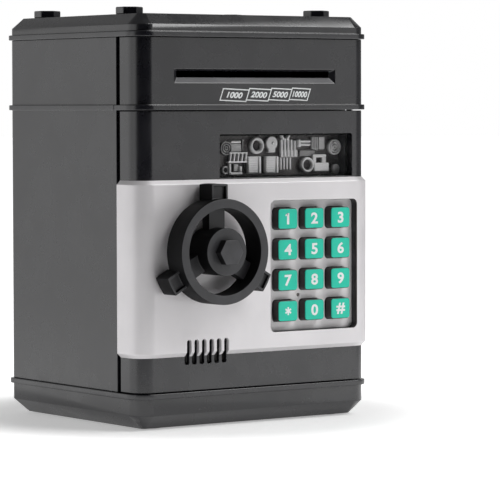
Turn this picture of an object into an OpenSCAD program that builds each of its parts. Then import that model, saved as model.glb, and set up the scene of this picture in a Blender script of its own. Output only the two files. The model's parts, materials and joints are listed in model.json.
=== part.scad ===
// Toy cash machine savings bank: a moulded case with a code-locked door, a motor that draws notes in,
// a coin slot in the lid and a vault wheel that throws the latch bolt.
// Millimetres. X to the right, Y to the back, Z up. The origin is the centre of the base's underside.

/* [Case] */
// Width over the dark walls
body_w = 130; // [126:1:160]
// Depth over the dark walls
body_d = 110; // [104:1:136]
// Height of the case under its corner studs
body_h = 186.6; // [180:0.2:226]
// Thickness of the moulded walls
wall = 2.2; // [1.8:0.1:2.8]
// Radius of the two front corners
front_r = 8; // [6:0.5:10]
// Radius of the two back corners
back_r = 3.4; // [3:0.1:6]
// Height of the base's ring, up to the door
base_h = 16.1; // [15:0.1:20]
// Height of the 45 degree slope under the base
base_slope = 6.2; // [3:0.1:7]
// Height of the head, from the middle ring up to the case's top
head_h = 43.4; // [42:0.1:50]
// Height of the top cover
cover_h = 10.4; // [9.8:0.1:14]
// Height of the 45 degree slope round the top cover
cover_slope = 4.9; // [3:0.1:6]
// Height of each of the three rings
ring_h = 2.4; // [2:0.1:3]
// How far a ring stands out of the wall
ring_out = 1.5; // [1:0.1:2]
// Depth of the front mouldings' returns round the corners
return_d = 14.6; // [13:0.1:17]
// Width of the groove behind those returns
groove_w = 2.7; // [2.4:0.1:4]

/* [Studs and feet] */
// Width over the flats of a corner stud
stud_af = 10.9; // [8:0.1:14]
// How far a stud stands out of the top cover
stud_h = 3.4; // [2:0.1:6]
// Stud centres from the side walls
stud_inset_x = 12; // [10:0.5:16]
// Front stud centres from the front wall
stud_inset_front = 24.6; // [12:0.1:30]
// Back stud centres from the back wall
stud_inset_back = 15; // [10:0.5:25]
// Diameter of a rubber foot
foot_d = 12; // [8:0.5:14]
// How far a foot stands out of the base
foot_out = 0.5; // [0.3:0.1:1.5]

/* [Front of the door] */
// How far the silver fascia stands out of the door
fascia_t = 2; // [1.5:0.1:3]
// Height of the fascia's flat face
fascia_h = 75.9; // [72:0.1:84]
// Height of the door below the fascia's flat face
fascia_rise = 17.9; // [16:0.1:24]
// Keypad recess width
well_w = 50; // [48:0.5:52]
// Keypad recess height
well_h = 60.5; // [58:0.5:64]
// Right edge of the recess from the right wall
well_right = 8.3; // [8:0.1:12]
// Bottom edge of the recess above the fascia's bottom edge
well_rise = 7; // [5:0.1:12]
// Corner radius of the recess
well_r = 2.5; // [1.5:0.1:4]
// Depth of the recess's floor behind the door's face
well_floor = 2; // [1.8:0.1:2.2]
// Window width
win_w = 75.6; // [60:0.5:77.5]
// Window height
win_h = 19.9; // [16:0.1:22]
// Right edge of the window from the right wall
win_right = 9.7; // [9:0.1:14]
// Clear pane's thickness
pane_t = 1.6; // [1:0.1:2]
// Depth of the relief plate behind the door's face
relief_depth = 11; // [9:0.1:12]

/* [Keys] */
// Key width
key_w = 11.2; // [9:0.1:12]
// Key height
key_h = 9.6; // [8:0.1:11]
// Column spacing
key_dx = 15.25; // [14:0.05:16]
// Row spacing
key_dz = 14.2; // [13.5:0.05:15]
// First column's centre from the recess's left edge
key_left = 9.6; // [8:0.1:11]
// Bottom row's centre above the recess's bottom edge
key_low = 9.4; // [8:0.1:10]
// How far a key stands out of the recess's floor
key_out = 4.4; // [3:0.1:5]
// Key travel
key_travel = 1.2; // [0.8:0.1:1.4]

/* [Vault wheel and latch] */
// Wheel centre from the left wall
wheel_left = 35.7; // [34:0.1:40]
// Wheel centre above the fascia's bottom edge
wheel_rise = 45.7; // [38:0.1:46]
// Outer diameter of the rim
rim_d = 47.6; // [40:0.1:50]
// Inner diameter of the rim
rim_id = 39.2; // [34:0.1:42]
// Depth of the rim
rim_t = 12; // [8:0.1:14]
// Front plane of the rim ahead of the door's face
rim_front = 17; // [15:0.1:20]
// Diameter of the hub
hub_d = 21.5; // [16:0.1:24]
// Width over the flats of the hub's hexagon
hex_af = 11; // [8:0.1:13]
// Width of a spoke and of its lug
spoke_w = 8.7; // [6:0.1:10]
// Radius over the three lugs
lug_r = 30.5; // [29:0.1:31]
// Shaft diameter
shaft_d = 7; // [5:0.1:8]
// Teeth on the shaft's pinion
latch_teeth = 12; // [10:1:14]
// Module of the latch pinion and rack
latch_module = 0.8; // [0.7:0.05:0.85]
// Turn of the wheel that throws the bolt
throw_deg = 60; // [45:1:60]
// Thickness of the latch bolt
bolt_t = 3; // [2.4:0.1:3.4]
// Height of the latch bolt above its teeth
bolt_h = 6.6; // [6:0.1:8]
// Stroke of the lock's solenoid
plunger_stroke = 4; // [3:0.1:4]
// Diameter of the plunger's tip
plunger_d = 3; // [2:0.1:3]

/* [Hinge] */
// Hinge pin diameter
pin_d = 3; // [2:0.1:3]
// Hinge axis from the right wall's outer face
pin_in = 3; // [3:0.1:3.4]

/* [Note feeder] */
// Width of the note slot
slot_w = 86; // [70:0.5:88]
// Height of the note slot
slot_h = 2.8; // [2:0.1:3.4]
// Middle of the note slot below the case's top
slot_drop = 27.2; // [27:0.1:28]
// Diameter of the driven rubber rollers
roller_d = 12; // [10:0.1:12.4]
// Diameter of the pinch rollers
pinch_d = 8; // [6:0.1:9]
// Steel axle diameter
axle_d = 3; // [2:0.1:3]
// Module of the feeder's gears
gear_module = 0.8; // [0.7:0.05:0.8]
// Teeth on the roller's gear
drive_teeth = 16; // [14:1:17]
// Teeth on the idler gear
idler_teeth = 20; // [18:1:21]
// Teeth on the motor's pinion
pinion_teeth = 10; // [9:1:11]

/* [Coins and power] */
// Length of the coin slot
coin_l = 30; // [26:0.5:34]
// Width of the coin slot
coin_w = 3.4; // [2.6:0.1:5]
// Length of one cell
cell_l = 50.5; // [44:0.5:50.5]
// Diameter of one cell
cell_d = 14.2; // [10:0.1:14.5]

/* [Clearances] */
// Gap between a moving piece and its neighbour
gap = 0.35; // [0.3:0.05:0.5]
// Radial clearance of a shaft that turns in its hole
run_fit = 0.06; // [0.03:0.01:0.1]
// Gap where two fixed mouldings meet
seam = 0.15; // [0.1:0.05:0.3]

/* [Hidden] */
$fn = 48;
eps = 0.01;

// case
hw = body_w / 2;
hd = body_d / 2;
face_y = -hd;                        // front face of the door and the head's panel
mid_z = body_h - head_h;             // underside of the middle ring
cover_z = body_h - cover_h;          // underside of the top ring
return_y = face_y + return_d;        // back end of the front mouldings' returns
shell_y = return_y + groove_w;       // front edge of the side walls
lip_t = 1.6;
lip_reach = 6.8;                     // how far the groove's inner lips run forward of the side walls
side_gap = 0.3;
deck_t = 2;
deck_z = mid_z + ring_h;             // top of the deck that carries the feeder
boss_d = 8;
screw_d = 3;
screw_seat = 4;                      // how deep the base screws' heads are sunk
boss_x = hw - wall - 9;
boss_front_y = face_y + 22.5 + boss_d / 2 + 1.5;
boss_back_y = hd - wall - 26;
floor_t = 2.4;
door_gap = 0.4;
door_z0 = base_h + door_gap;
door_z1 = mid_z - door_gap;

// front of the door
fas_z0 = base_h + fascia_rise;
fas_z1 = fas_z0 + fascia_h;
fas_y = face_y - fascia_t;
fas_slope = fascia_t;
well_x1 = hw - well_right;
well_x0 = well_x1 - well_w;
well_z0 = fas_z0 + well_rise;
well_z1 = well_z0 + well_h;
well_y = face_y + well_floor;
win_x1 = hw - win_right;
win_x0 = win_x1 - win_w;
win_z0 = fas_z1 + fas_slope + 0.4;
win_z1 = win_z0 + win_h;
pane_y = face_y + 1.6;
relief_y = face_y + relief_depth;
relief_t = 1.5;
liner_t = 1.6;
liner_y = face_y + 22.5;             // back face of the door's liner
liner_x0 = -hw + 6.8;
liner_x1 = hw - pin_in - 3.4;
liner_z0 = door_z0 + 4.5;
liner_z1 = door_z1 - 4.5;
door_in_y = face_y + wall;
grille_n = 6;
grille_pitch = 4.1;
grille_w = 2.4;
grille_z0 = fas_z0 - 5.7;
grille_z1 = fas_z0 + 5.7;

// wheel and latch
wheel_x = -hw + wheel_left;
wheel_z = fas_z0 + wheel_rise;
rim_y = face_y - rim_front;
hub_y = rim_y - 1;
spoke_y = rim_y + 6.7;
lug_y = rim_y + 4.3;
hub_back_y = fas_y - gap;
bore_d = shaft_d + 2 * run_fit;
latch_r = latch_module * latch_teeth / 2;
throw = latch_r * throw_deg * PI / 180;
bolt_y = face_y + 12.6;
bolt_z = wheel_z + latch_r;          // pitch line of the rack
bolt_top = bolt_z + 1.05 * latch_module + bolt_h;
bolt_x0 = -hw + 7.8;
bolt_x1 = wheel_x + 26;
strike_x0 = -hw + wall + side_gap + lip_t;
strike_t = 1.5;
sol_x = wheel_x - 6.5;
sol_z0 = bolt_top + 5;
sol_h = 14;
sol_w = 15;
sol_d = 13;
notch_w = plunger_d + 0.6;
clip_y = bolt_y + bolt_t + 0.8;

// hinge
hinge_x = hw - pin_in;
hinge_y = return_y - 4;
knuckle_r = pin_in;
pin_bury = 9;                        // how far a pin sits in the case
pin_reach = 8;                       // how far it stands in the door

// feeder
slot_z = body_h - slot_drop;
axle_y = face_y + 15;
bed_z = slot_z - slot_h / 2;         // plane that a note slides on
drive_z = bed_z + 0.3 - roller_d / 2;
pinch_z = drive_z + roller_d / 2 + 0.35 + pinch_d / 2;
bed_t = 1.6;
bed_y1 = axle_y + 12;
cheek_x = slot_w / 2 + 2;            // inner face of each cheek plate
cheek_t = 2;
gear_t = 4;
gear_x = -cheek_x - cheek_t - 0.8 - gear_t;
idler_c = gear_module * (drive_teeth + idler_teeth) / 2 + 0.1;
pinion_c = gear_module * (idler_teeth + pinion_teeth) / 2 + 0.1;
idler_dir = 46;
pinion_dir = 12;
idler_y = axle_y + idler_c * cos(idler_dir);
idler_z = drive_z + idler_c * sin(idler_dir);
pinion_y = idler_y + pinion_c * cos(pinion_dir);
pinion_z = idler_z + pinion_c * sin(pinion_dir);
motor_l = 24;
motor_w = 12;
motor_h = 10;

// battery box in the back wall
cell_n = 3;
cell_pitch = cell_d + 0.8;
bay_w = cell_l + 7;
bay_h = cell_n * cell_pitch + 0.8;
bay_z0 = base_h + 10;
bay_z1 = bay_z0 + bay_h;
bay_t = 1.4;
bay_depth = cell_d + 1.2;
cover_t = wall - 0.4;

// key grid
// each key's name, its column from the left and its row from the bottom
KEYS = [["key_1", 0, 3], ["key_2", 1, 3], ["key_3", 2, 3],
        ["key_4", 0, 2], ["key_5", 1, 2], ["key_6", 2, 2],
        ["key_7", 0, 1], ["key_8", 1, 1], ["key_9", 2, 1],
        ["key_star", 0, 0], ["key_0", 1, 0], ["key_hash", 2, 0]];
plate_t = 1.2;
function key_x(c) = well_x0 + key_left + c * key_dx;
function key_z(r) = well_z0 + key_low + r * key_dz;

// ---- shared shapes ----

// Plan of the case, grown outwards by g
module plan(g = 0) {
  x = hw + g;
  y = hd + g;
  rf = max(front_r + g, 0.3);
  rb = max(back_r + g, 0.3);
  translate([-x, rf - y]) square([2 * x, 2 * y - rf - rb]);
  translate([rf - x, -y]) square([2 * (x - rf), rf + eps]);
  translate([rb - x, y - rb - eps]) square([2 * (x - rb), rb + eps]);
  for (s = [-1, 1]) {
    translate([s * (x - rf), rf - y]) circle(rf);
    translate([s * (x - rb), y - rb]) circle(rb);
  }
}

// The part of that plan between two depths
module plan_part(g, y0, y1) {
  intersection() {
    plan(g);
    translate([-2 * hw, y0]) square([4 * hw, y1 - y0]);
  }
}

// A block given by its lowest and highest corners
module block(a, b) {
  translate(a) cube(b - a);
}

// A cylinder along Y from depth y0 to y1
module rod_y(x, z, y0, y1, d) {
  translate([x, y0, z]) rotate([-90, 0, 0]) cylinder(d = d, h = y1 - y0);
}

// A cylinder along X from x0 to x1
module rod_x(y, z, x0, x1, d) {
  translate([x0, y, z]) rotate([0, 90, 0]) cylinder(d = d, h = x1 - x0);
}

// A rectangle with rounded corners
module rounded(w, h, r) {
  translate([0, r]) square([w, h - 2 * r]);
  translate([r, 0]) square([w - 2 * r, h]);
  for (x = [r, w - r], y = [r, h - r]) translate([x, y]) circle(r);
}

// A rounded rectangle standing in the XZ plane, from depth y0 to y1
module slab(x0, x1, z0, z1, y0, y1, r) {
  translate([x0, y1, z0]) rotate([90, 0, 0]) linear_extrude(y1 - y0) rounded(x1 - x0, z1 - z0, r);
}

// Involute of a circle of radius b, at roll angle t in degrees
function involute(b, t) = [b * (cos(t) + t * PI / 180 * sin(t)), b * (sin(t) - t * PI / 180 * cos(t))];
function turned(p, a) = [p[0] * cos(a) - p[1] * sin(a), p[0] * sin(a) + p[1] * cos(a)];
function roll_at(b, r) = r <= b ? 0 : sqrt(pow(r / b, 2) - 1) * 180 / PI;

// Outline of a spur gear with a tooth on +X; slack thins its teeth
module gear_outline(m, n, slack, pressure = 25) {
  r = m * n / 2;
  b = r * cos(pressure);
  tip = r + 0.8 * m;
  root = r - 1.05 * m;
  half = 90 / n + (tan(pressure) - pressure * PI / 180) * 180 / PI - slack / 2 / r * 180 / PI;
  steps = 5;
  t0 = roll_at(b, root);
  t1 = roll_at(b, tip);
  flank = [for (i = [0:steps]) turned(involute(b, t0 + (t1 - t0) * i / steps), -half)];
  foot = [0.8 * root, flank[0][1]];
  right = concat([foot], flank);
  circle(root, $fn = 4 * n);
  for (k = [0:n - 1]) rotate(k * 360 / n)
    polygon(concat(right, [for (i = [steps + 1:-1:0]) [right[i][0], -right[i][1]]]));
}

// Rotation of the second gear that meshes it with the first, which lies in direction dir from it reversed
function mesh_turn(dir, n1, a1, n2) = dir + 180 - (0.5 - (dir - a1) * n1 / 360) * 360 / n2;

// A gear across X in the feeder, with its bore cut
module feeder_gear(y, z, n, turn, x0, t, bore) {
  translate([x0, y, z]) rotate([90, 0, 90]) difference() {
    linear_extrude(t) rotate(turn) gear_outline(gear_module, n, 0.16);
    if (bore > 0) translate([0, 0, -1]) cylinder(d = bore, h = t + 2);
  }
}
drive_turn = 0;
idler_turn = mesh_turn(idler_dir, drive_teeth, drive_turn, idler_teeth);
pinion_turn = mesh_turn(pinion_dir, idler_teeth, idler_turn, pinion_teeth);

// A pan-head screw along +Z, its head down and its top face at z
module screw_up(x, y, z, len) {
  head_t = 1.6;
  translate([x, y, z - head_t]) {
    difference() {
      cylinder(d = 5.6, h = head_t);
      translate([-1.4, -0.3, -eps]) cube([2.8, 0.6, 0.7]);
      translate([-0.3, -1.4, -eps]) cube([0.6, 2.8, 0.7]);
    }
    translate([0, 0, head_t - eps]) cylinder(d = screw_d, h = len);
  }
}

// ---- case ----

function boss_places() = [[-boss_x, boss_front_y], [boss_x, boss_front_y],
                          [-boss_x, boss_back_y], [boss_x, boss_back_y]];
foot_edge = 9;                       // foot centres from the edge of the flat underside
foot_sink = 1;
foot_x = hw - base_slope - foot_edge;
foot_y = hd - base_slope - foot_edge;
function foot_places() = [for (sx = [-1, 1], sy = [-1, 1]) [sx * foot_x, sy * foot_y]];

module base_tray() {
  color([0.2, 0.2, 0.21]) difference() {
    union() {
      hull() {
        linear_extrude(eps) plan(-base_slope);
        translate([0, 0, base_slope]) linear_extrude(eps) plan();
      }
      translate([0, 0, base_slope]) linear_extrude(base_h - base_slope) plan();
      translate([0, 0, base_h - ring_h]) linear_extrude(ring_h) plan(ring_out);
    }
    difference() {
      translate([0, 0, floor_t]) linear_extrude(base_h) plan(-wall - base_slope + floor_t);
      for (p = boss_places()) translate([p[0], p[1], 0]) cylinder(d = boss_d, h = base_h);
      translate([hinge_x, hinge_y, 0]) cylinder(r = knuckle_r + 6, h = base_h);
    }
    for (p = boss_places()) translate([p[0], p[1], -1]) {
      cylinder(d = screw_d + 0.4, h = base_h + 2);
      cylinder(d = 6.4, h = screw_seat + 1);
    }
    translate([hinge_x, hinge_y, base_h - pin_bury]) cylinder(d = pin_d, h = pin_bury + 1);
    for (p = foot_places()) translate([p[0], p[1], -1]) cylinder(d = foot_d, h = 1 + foot_sink);
  }
}

module rubber_feet() {
  color([0.1, 0.1, 0.1]) for (p = foot_places())
    translate([p[0], p[1], -foot_out]) cylinder(d = foot_d, h = foot_out + foot_sink);
}

module case_screws() {
  color("silver") for (p = boss_places()) screw_up(p[0], p[1], screw_seat, base_h + 4);
}

// The lip that closes the groove behind a front moulding's return, on the side s
module groove_lip(s, z0, z1) {
  x1 = hw - wall - side_gap;
  mirror([s < 0 ? 1 : 0, 0, 0]) {
    block([x1 - lip_t, shell_y - lip_reach, z0], [x1, shell_y + 2, z1]);
    block([x1 - lip_t, shell_y, z0], [hw - wall + eps, shell_y + 2, z1]);
  }
}

// The window that the latch bolt passes through, in the lip and its strike
module bolt_window(x0, x1) {
  block([x0, bolt_y - gap, bolt_top - bolt_h - gap], [x1, bolt_y + bolt_t + gap, bolt_top + gap]);
}

hatch_w = bay_w + 6;
hatch_z0 = bay_z0 - 6;
hatch_z1 = bay_z1 + 7;
hatch_pivot_y = hd - cover_t / 2;
hatch_pivot_z = hatch_z0 + gap + cover_t / 2;
deck_x = hw - wall - side_gap - lip_t - seam;
deck_z0 = deck_z - deck_t;

// The notch that lets the motor's leads up past the deck and its ledge
module lead_notch() {
  translate([-38.5, hd - wall - eps, deck_z0 - 3]) intersection() {
    cylinder(r = 6, h = deck_t + 5);
    translate([-7, -7, 0]) cube([14, 7, deck_t + 5]);
  }
}

module body_shell() {
  color([0.24, 0.24, 0.25]) difference() {
    union() {
      difference() {
        union() {
          translate([0, 0, base_h]) linear_extrude(cover_z - base_h) plan_part(0, shell_y, hd + 1);
          translate([0, 0, mid_z]) linear_extrude(ring_h) plan_part(ring_out, shell_y, hd + 2 * ring_out);
        }
        translate([0, 0, base_h - 1]) linear_extrude(body_h) plan(-wall);
      }
      groove_lip(-1, door_z0 + wall + side_gap, door_z1 - wall - side_gap);
      groove_lip(-1, deck_z, cover_z);
      groove_lip(1, mid_z + pin_bury + 2 + side_gap, cover_z);
      for (p = boss_places()) translate([p[0], p[1], base_h]) {
        cylinder(d = boss_d, h = 12);
        translate([p[0] > 0 ? 0 : -9.5, -1.5, 0]) cube([9.5, 3, 12]);
      }
      for (s = [-1, 1]) mirror([s < 0 ? 1 : 0, 0, 0])
        block([deck_x - 4, shell_y, deck_z0 - 2], [hw - wall + eps, hd - wall + eps, deck_z0]);
      block([-deck_x, hd - wall - 4, deck_z0 - 2], [deck_x, hd - wall + eps, deck_z0]);
    }
    for (p = boss_places()) translate([p[0], p[1], base_h - 1]) cylinder(d = screw_d, h = 12);
    lead_notch();
    bolt_window(-hw + wall, -hw + wall + side_gap + lip_t + 1);
    block([-hatch_w / 2, hd - wall - 1, hatch_z0], [hatch_w / 2, hd + 1, hatch_z1]);
  }
}

slot_back_y = face_y + 1.6;          // depth of the bevelled mouth
slot_z0 = slot_z - slot_h / 2;
slot_z1 = slot_z + slot_h / 2;
module front_top_panel() {
  color([0.22, 0.22, 0.23]) difference() {
    union() {
      translate([0, 0, mid_z]) linear_extrude(cover_z - mid_z - seam) difference() {
        plan_part(0, face_y - 1, return_y);
        plan(-wall);
      }
      translate([0, 0, mid_z]) linear_extrude(ring_h) difference() {
        plan_part(ring_out, face_y - 2 * ring_out, shell_y - seam);
        plan(-wall);
      }
      intersection() {
        translate([hinge_x, hinge_y, mid_z]) cylinder(r = knuckle_r, h = pin_bury + 2);
        translate([0, 0, mid_z]) linear_extrude(pin_bury + 2) plan();
      }
    }
    hull() {
      block([-slot_w / 2 - 2.4, face_y - eps, slot_z0 - 2.7], [slot_w / 2 + 2.4, face_y, slot_z1 + 1]);
      block([-slot_w / 2, slot_back_y, slot_z0], [slot_w / 2, slot_back_y + eps, slot_z1]);
    }
    block([-slot_w / 2, face_y - 1, slot_z0], [slot_w / 2, face_y + wall + 1, slot_z1]);
    translate([hinge_x, hinge_y, mid_z - 1]) cylinder(d = pin_d, h = pin_bury + 1);
  }
}

coin_y = hd - wall - 20;
function stud_places() = [for (s = [-1, 1]) each [[s * (hw - stud_inset_x), -hd + stud_inset_front],
                                                 [s * (hw - stud_inset_x), hd - stud_inset_back]]];
peg_d = 4;

module top_cover() {
  shoulder_z = body_h - cover_slope;
  color([0.22, 0.22, 0.23]) difference() {
    union() {
      translate([0, 0, cover_z]) linear_extrude(ring_h) plan(ring_out);
      translate([0, 0, cover_z]) linear_extrude(shoulder_z - cover_z) plan();
      hull() {
        translate([0, 0, shoulder_z - eps]) linear_extrude(eps) plan();
        translate([0, 0, body_h - eps]) linear_extrude(eps) plan(-cover_slope);
      }
    }
    translate([0, 0, cover_z - 1]) linear_extrude(shoulder_z - cover_z + 1) plan(-wall);
    translate([0, 0, cover_z]) linear_extrude(cover_h - wall) plan(-wall - cover_slope);
    block([-coin_l / 2, coin_y - coin_w / 2, cover_z], [coin_l / 2, coin_y + coin_w / 2, body_h + 1]);
    for (p = stud_places()) translate([p[0], p[1], cover_z]) cylinder(d = peg_d, h = cover_h + 1);
  }
}

module corner_studs() {
  color([0.24, 0.24, 0.25]) for (p = stud_places()) translate([p[0], p[1], 0]) {
    translate([0, 0, body_h]) rotate(30) cylinder(d = stud_af / cos(30), h = stud_h, $fn = 6);
    translate([0, 0, body_h - wall - 1]) cylinder(d = peg_d, h = wall + 1 + eps);
  }
}

chute_t = 1.2;
chute_x = coin_l / 2 + 1 + chute_t;
chute_y = coin_w / 2 + 1 + chute_t;
module coin_chute() {
  color([0.3, 0.3, 0.31]) difference() {
    union() {
      block([-chute_x, coin_y - chute_y, deck_z0 - 4], [chute_x, coin_y + chute_y, body_h - wall - seam]);
      block([-chute_x - 4, coin_y - chute_y - 4, deck_z], [chute_x + 4, coin_y + chute_y + 4, deck_z + 1.6]);
    }
    block([-chute_x + chute_t, coin_y - chute_y + chute_t, deck_z0 - 5],
          [chute_x - chute_t, coin_y + chute_y - chute_t, body_h]);
  }
}

drop_y0 = bed_y1 + 1;
drop_y1 = bed_y1 + 24;
module chamber_deck() {
  color([0.2, 0.2, 0.21]) difference() {
    block([-deck_x, door_in_y + gap, deck_z0], [deck_x, hd - wall - seam, deck_z]);
    block([-slot_w / 2 - 1, drop_y0, deck_z0 - 1], [slot_w / 2 + 1, drop_y1, deck_z + 1]);
    block([-chute_x - seam, coin_y - chute_y - seam, deck_z0 - 1],
          [chute_x + seam, coin_y + chute_y + seam, deck_z + 1]);
    block([gear_x - 1, axle_y - 8, deck_z0 - 1], [gear_x + gear_t + 0.6, axle_y + 8, deck_z + 1]);
    translate([hinge_x, hinge_y, deck_z0 - 1]) cylinder(r = knuckle_r + gap, h = deck_t + 2);
    for (s = [-1, 1]) translate([s * hw, -hd, deck_z0 - 1]) cylinder(r = front_r + wall, h = deck_t + 2);
    lead_notch();
  }
}

// ---- note feeder ----

cheek_y0 = door_in_y + 1;
cheek_y1 = pinion_y + 9;
cheek_top = pinion_z + 7;
roller_x = [-22, 22];
roller_l = 14;

module cheek_plate(x0) {
  translate([x0, 0, 0]) rotate([90, 0, 90]) linear_extrude(cheek_t) polygon([
    [cheek_y0, deck_z], [cheek_y1, deck_z], [cheek_y1, cheek_top], [axle_y + 4, cheek_top],
    [axle_y - 6, pinch_z + 8], [cheek_y0, pinch_z + 4]]);
}

module feeder_frame() {
  color([0.3, 0.3, 0.32]) difference() {
    union() {
      cheek_plate(-cheek_x - cheek_t);
      cheek_plate(cheek_x);
      block([-cheek_x - eps, cheek_y0, bed_z - bed_t], [cheek_x + eps, bed_y1, bed_z]);
      block([-cheek_x - eps, cheek_y0 + 2, pinch_z + 1.6], [cheek_x + eps, cheek_y0 + 6, pinch_z + 4]);
      for (s = [-1, 1]) mirror([s < 0 ? 1 : 0, 0, 0])
        block([cheek_x + cheek_t - eps, cheek_y1 - 8, deck_z], [cheek_x + cheek_t + 7, cheek_y1, deck_z + 2]);
      rod_x(idler_y, idler_z, gear_x - 1, -cheek_x - cheek_t + eps, axle_d);
    }
    for (x = roller_x) block([x - roller_l / 2 - 1, axle_y - 5.4, bed_z - bed_t - 1],
                             [x + roller_l / 2 + 1, axle_y + 5.4, bed_z + 1]);
    for (z = [drive_z, pinch_z]) rod_x(axle_y, z, -hw, hw, axle_d + 2 * run_fit);
    rod_x(pinion_y, pinion_z, -cheek_x - cheek_t - 1, -cheek_x + 1, 6);
  }
}

motor_x0 = -cheek_x + 0.2;
gearbox_l = 9;
module feeder_motor() {
  color([0.75, 0.75, 0.77]) {
    block([motor_x0, pinion_y - motor_w / 2, pinion_z - motor_h / 2],
          [motor_x0 + gearbox_l, pinion_y + motor_w / 2, pinion_z + motor_h / 2]);
    intersection() {
      rod_x(pinion_y, pinion_z, motor_x0 + gearbox_l - eps, motor_x0 + motor_l, motor_w);
      block([motor_x0, pinion_y - motor_w / 2, pinion_z - motor_h / 2],
            [motor_x0 + motor_l, pinion_y + motor_w / 2, pinion_z + motor_h / 2]);
    }
    rod_x(pinion_y, pinion_z, motor_x0 + motor_l - eps, motor_x0 + motor_l + 1.4, 4);
  }
}

module motor_pinion() {
  color([0.9, 0.9, 0.86]) {
    feeder_gear(pinion_y, pinion_z, pinion_teeth, pinion_turn, gear_x, gear_t, 0);
    rod_x(pinion_y, pinion_z, gear_x + gear_t - eps, motor_x0 - gap, 2.4);
  }
}

module idler_gear() {
  color([0.9, 0.9, 0.86]) feeder_gear(idler_y, idler_z, idler_teeth, idler_turn, gear_x, gear_t,
                                     axle_d + 2 * run_fit);
}

module drive_axle() {
  color("silver") {
    rod_x(axle_y, drive_z, -cheek_x - cheek_t - 0.4, cheek_x + cheek_t + 2, axle_d);
    feeder_gear(axle_y, drive_z, drive_teeth, drive_turn, gear_x, gear_t, 0);
    rod_x(axle_y, drive_z, gear_x + gear_t - eps, -cheek_x - cheek_t - 0.3, axle_d);
  }
}

// Rollers of diameter d on an axle of height z
module rollers(z, d) {
  for (x = roller_x) difference() {
    rod_x(axle_y, z, x - roller_l / 2, x + roller_l / 2, d);
    rod_x(axle_y, z, x - roller_l, x + roller_l, axle_d);
  }
}

module drive_rollers() {
  color([0.15, 0.15, 0.15]) rollers(drive_z, roller_d);
}

module pinch_axle() {
  color("silver") rod_x(axle_y, pinch_z, -cheek_x - cheek_t - 0.4, cheek_x + cheek_t + 1.5, axle_d);
}

module pinch_rollers() {
  color([0.12, 0.12, 0.12]) rollers(pinch_z, pinch_d);
}

module pinch_springs() {
  color("silver") for (s = [-1, 1]) translate([s * 36, 0, 0]) {
    block([-2.5, cheek_y0 + 2, pinch_z + 4], [2.5, axle_y + 4, pinch_z + 4.5]);
    block([-2.5, axle_y - 1, pinch_z + axle_d / 2 + gap], [2.5, axle_y + 1, pinch_z + 4 + eps]);
  }
}

lever_x = cheek_x - 5;
lever_y = axle_y + 8;
lever_z = bed_z + 9;
lever_pin = 1.6;
module note_switch() {
  color([0.12, 0.12, 0.13]) difference() {
    union() {
      block([lever_x - 3.2, lever_y + 3, lever_z - 2], [cheek_x, lever_y + 16, lever_z + 6]);
      for (x = [lever_x - 3.2, lever_x + 2])
        block([x, lever_y - 2, lever_z - 1.8], [x + 1.2, lever_y + 3 + eps, lever_z + 1.8]);
    }
    rod_x(lever_y, lever_z, lever_x - 4, lever_x + 4, lever_pin + 2 * run_fit);
  }
}

module switch_lever() {
  color([0.2, 0.2, 0.21]) {
    rod_x(lever_y, lever_z, lever_x - 3.2, lever_x + 3.2, lever_pin);
    rod_x(lever_y, lever_z, lever_x - 1.6, lever_x + 1.6, lever_pin + 1.6);
    translate([lever_x - 1.2, lever_y - 0.6, bed_z + 0.6]) cube([2.4, 1.2, lever_z - bed_z - 0.6]);
  }
}

// ---- electronics and power in the case ----

board_z0 = hatch_z1 + 4;
board_z1 = deck_z0 - 8;
board_y = hd - wall - 5;
lead_d = 2;
module main_board() {
  color([0.1, 0.4, 0.22]) block([-36, board_y, board_z0], [36, board_y + 1.6, board_z1]);
  color([0.1, 0.4, 0.22]) for (x = [-32, 32], z = [board_z0 + 4, board_z1 - 4])
    rod_y(x, z, board_y + 1.6 - eps, hd - wall, 5);
  color([0.1, 0.1, 0.1]) block([-8, board_y - 1.8, board_z0 + 12], [6, board_y + eps, board_z0 + 26]);
  color([0.9, 0.9, 0.85]) for (x = [-28, 14])
    block([x, board_y - 5, board_z1 - 9], [x + 9, board_y + eps, board_z1 - 3]);
  color([0.2, 0.25, 0.5]) for (x = [18, 26]) rod_y(x, board_z0 + 12, board_y - 8, board_y + eps, 6.3);
}

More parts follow.
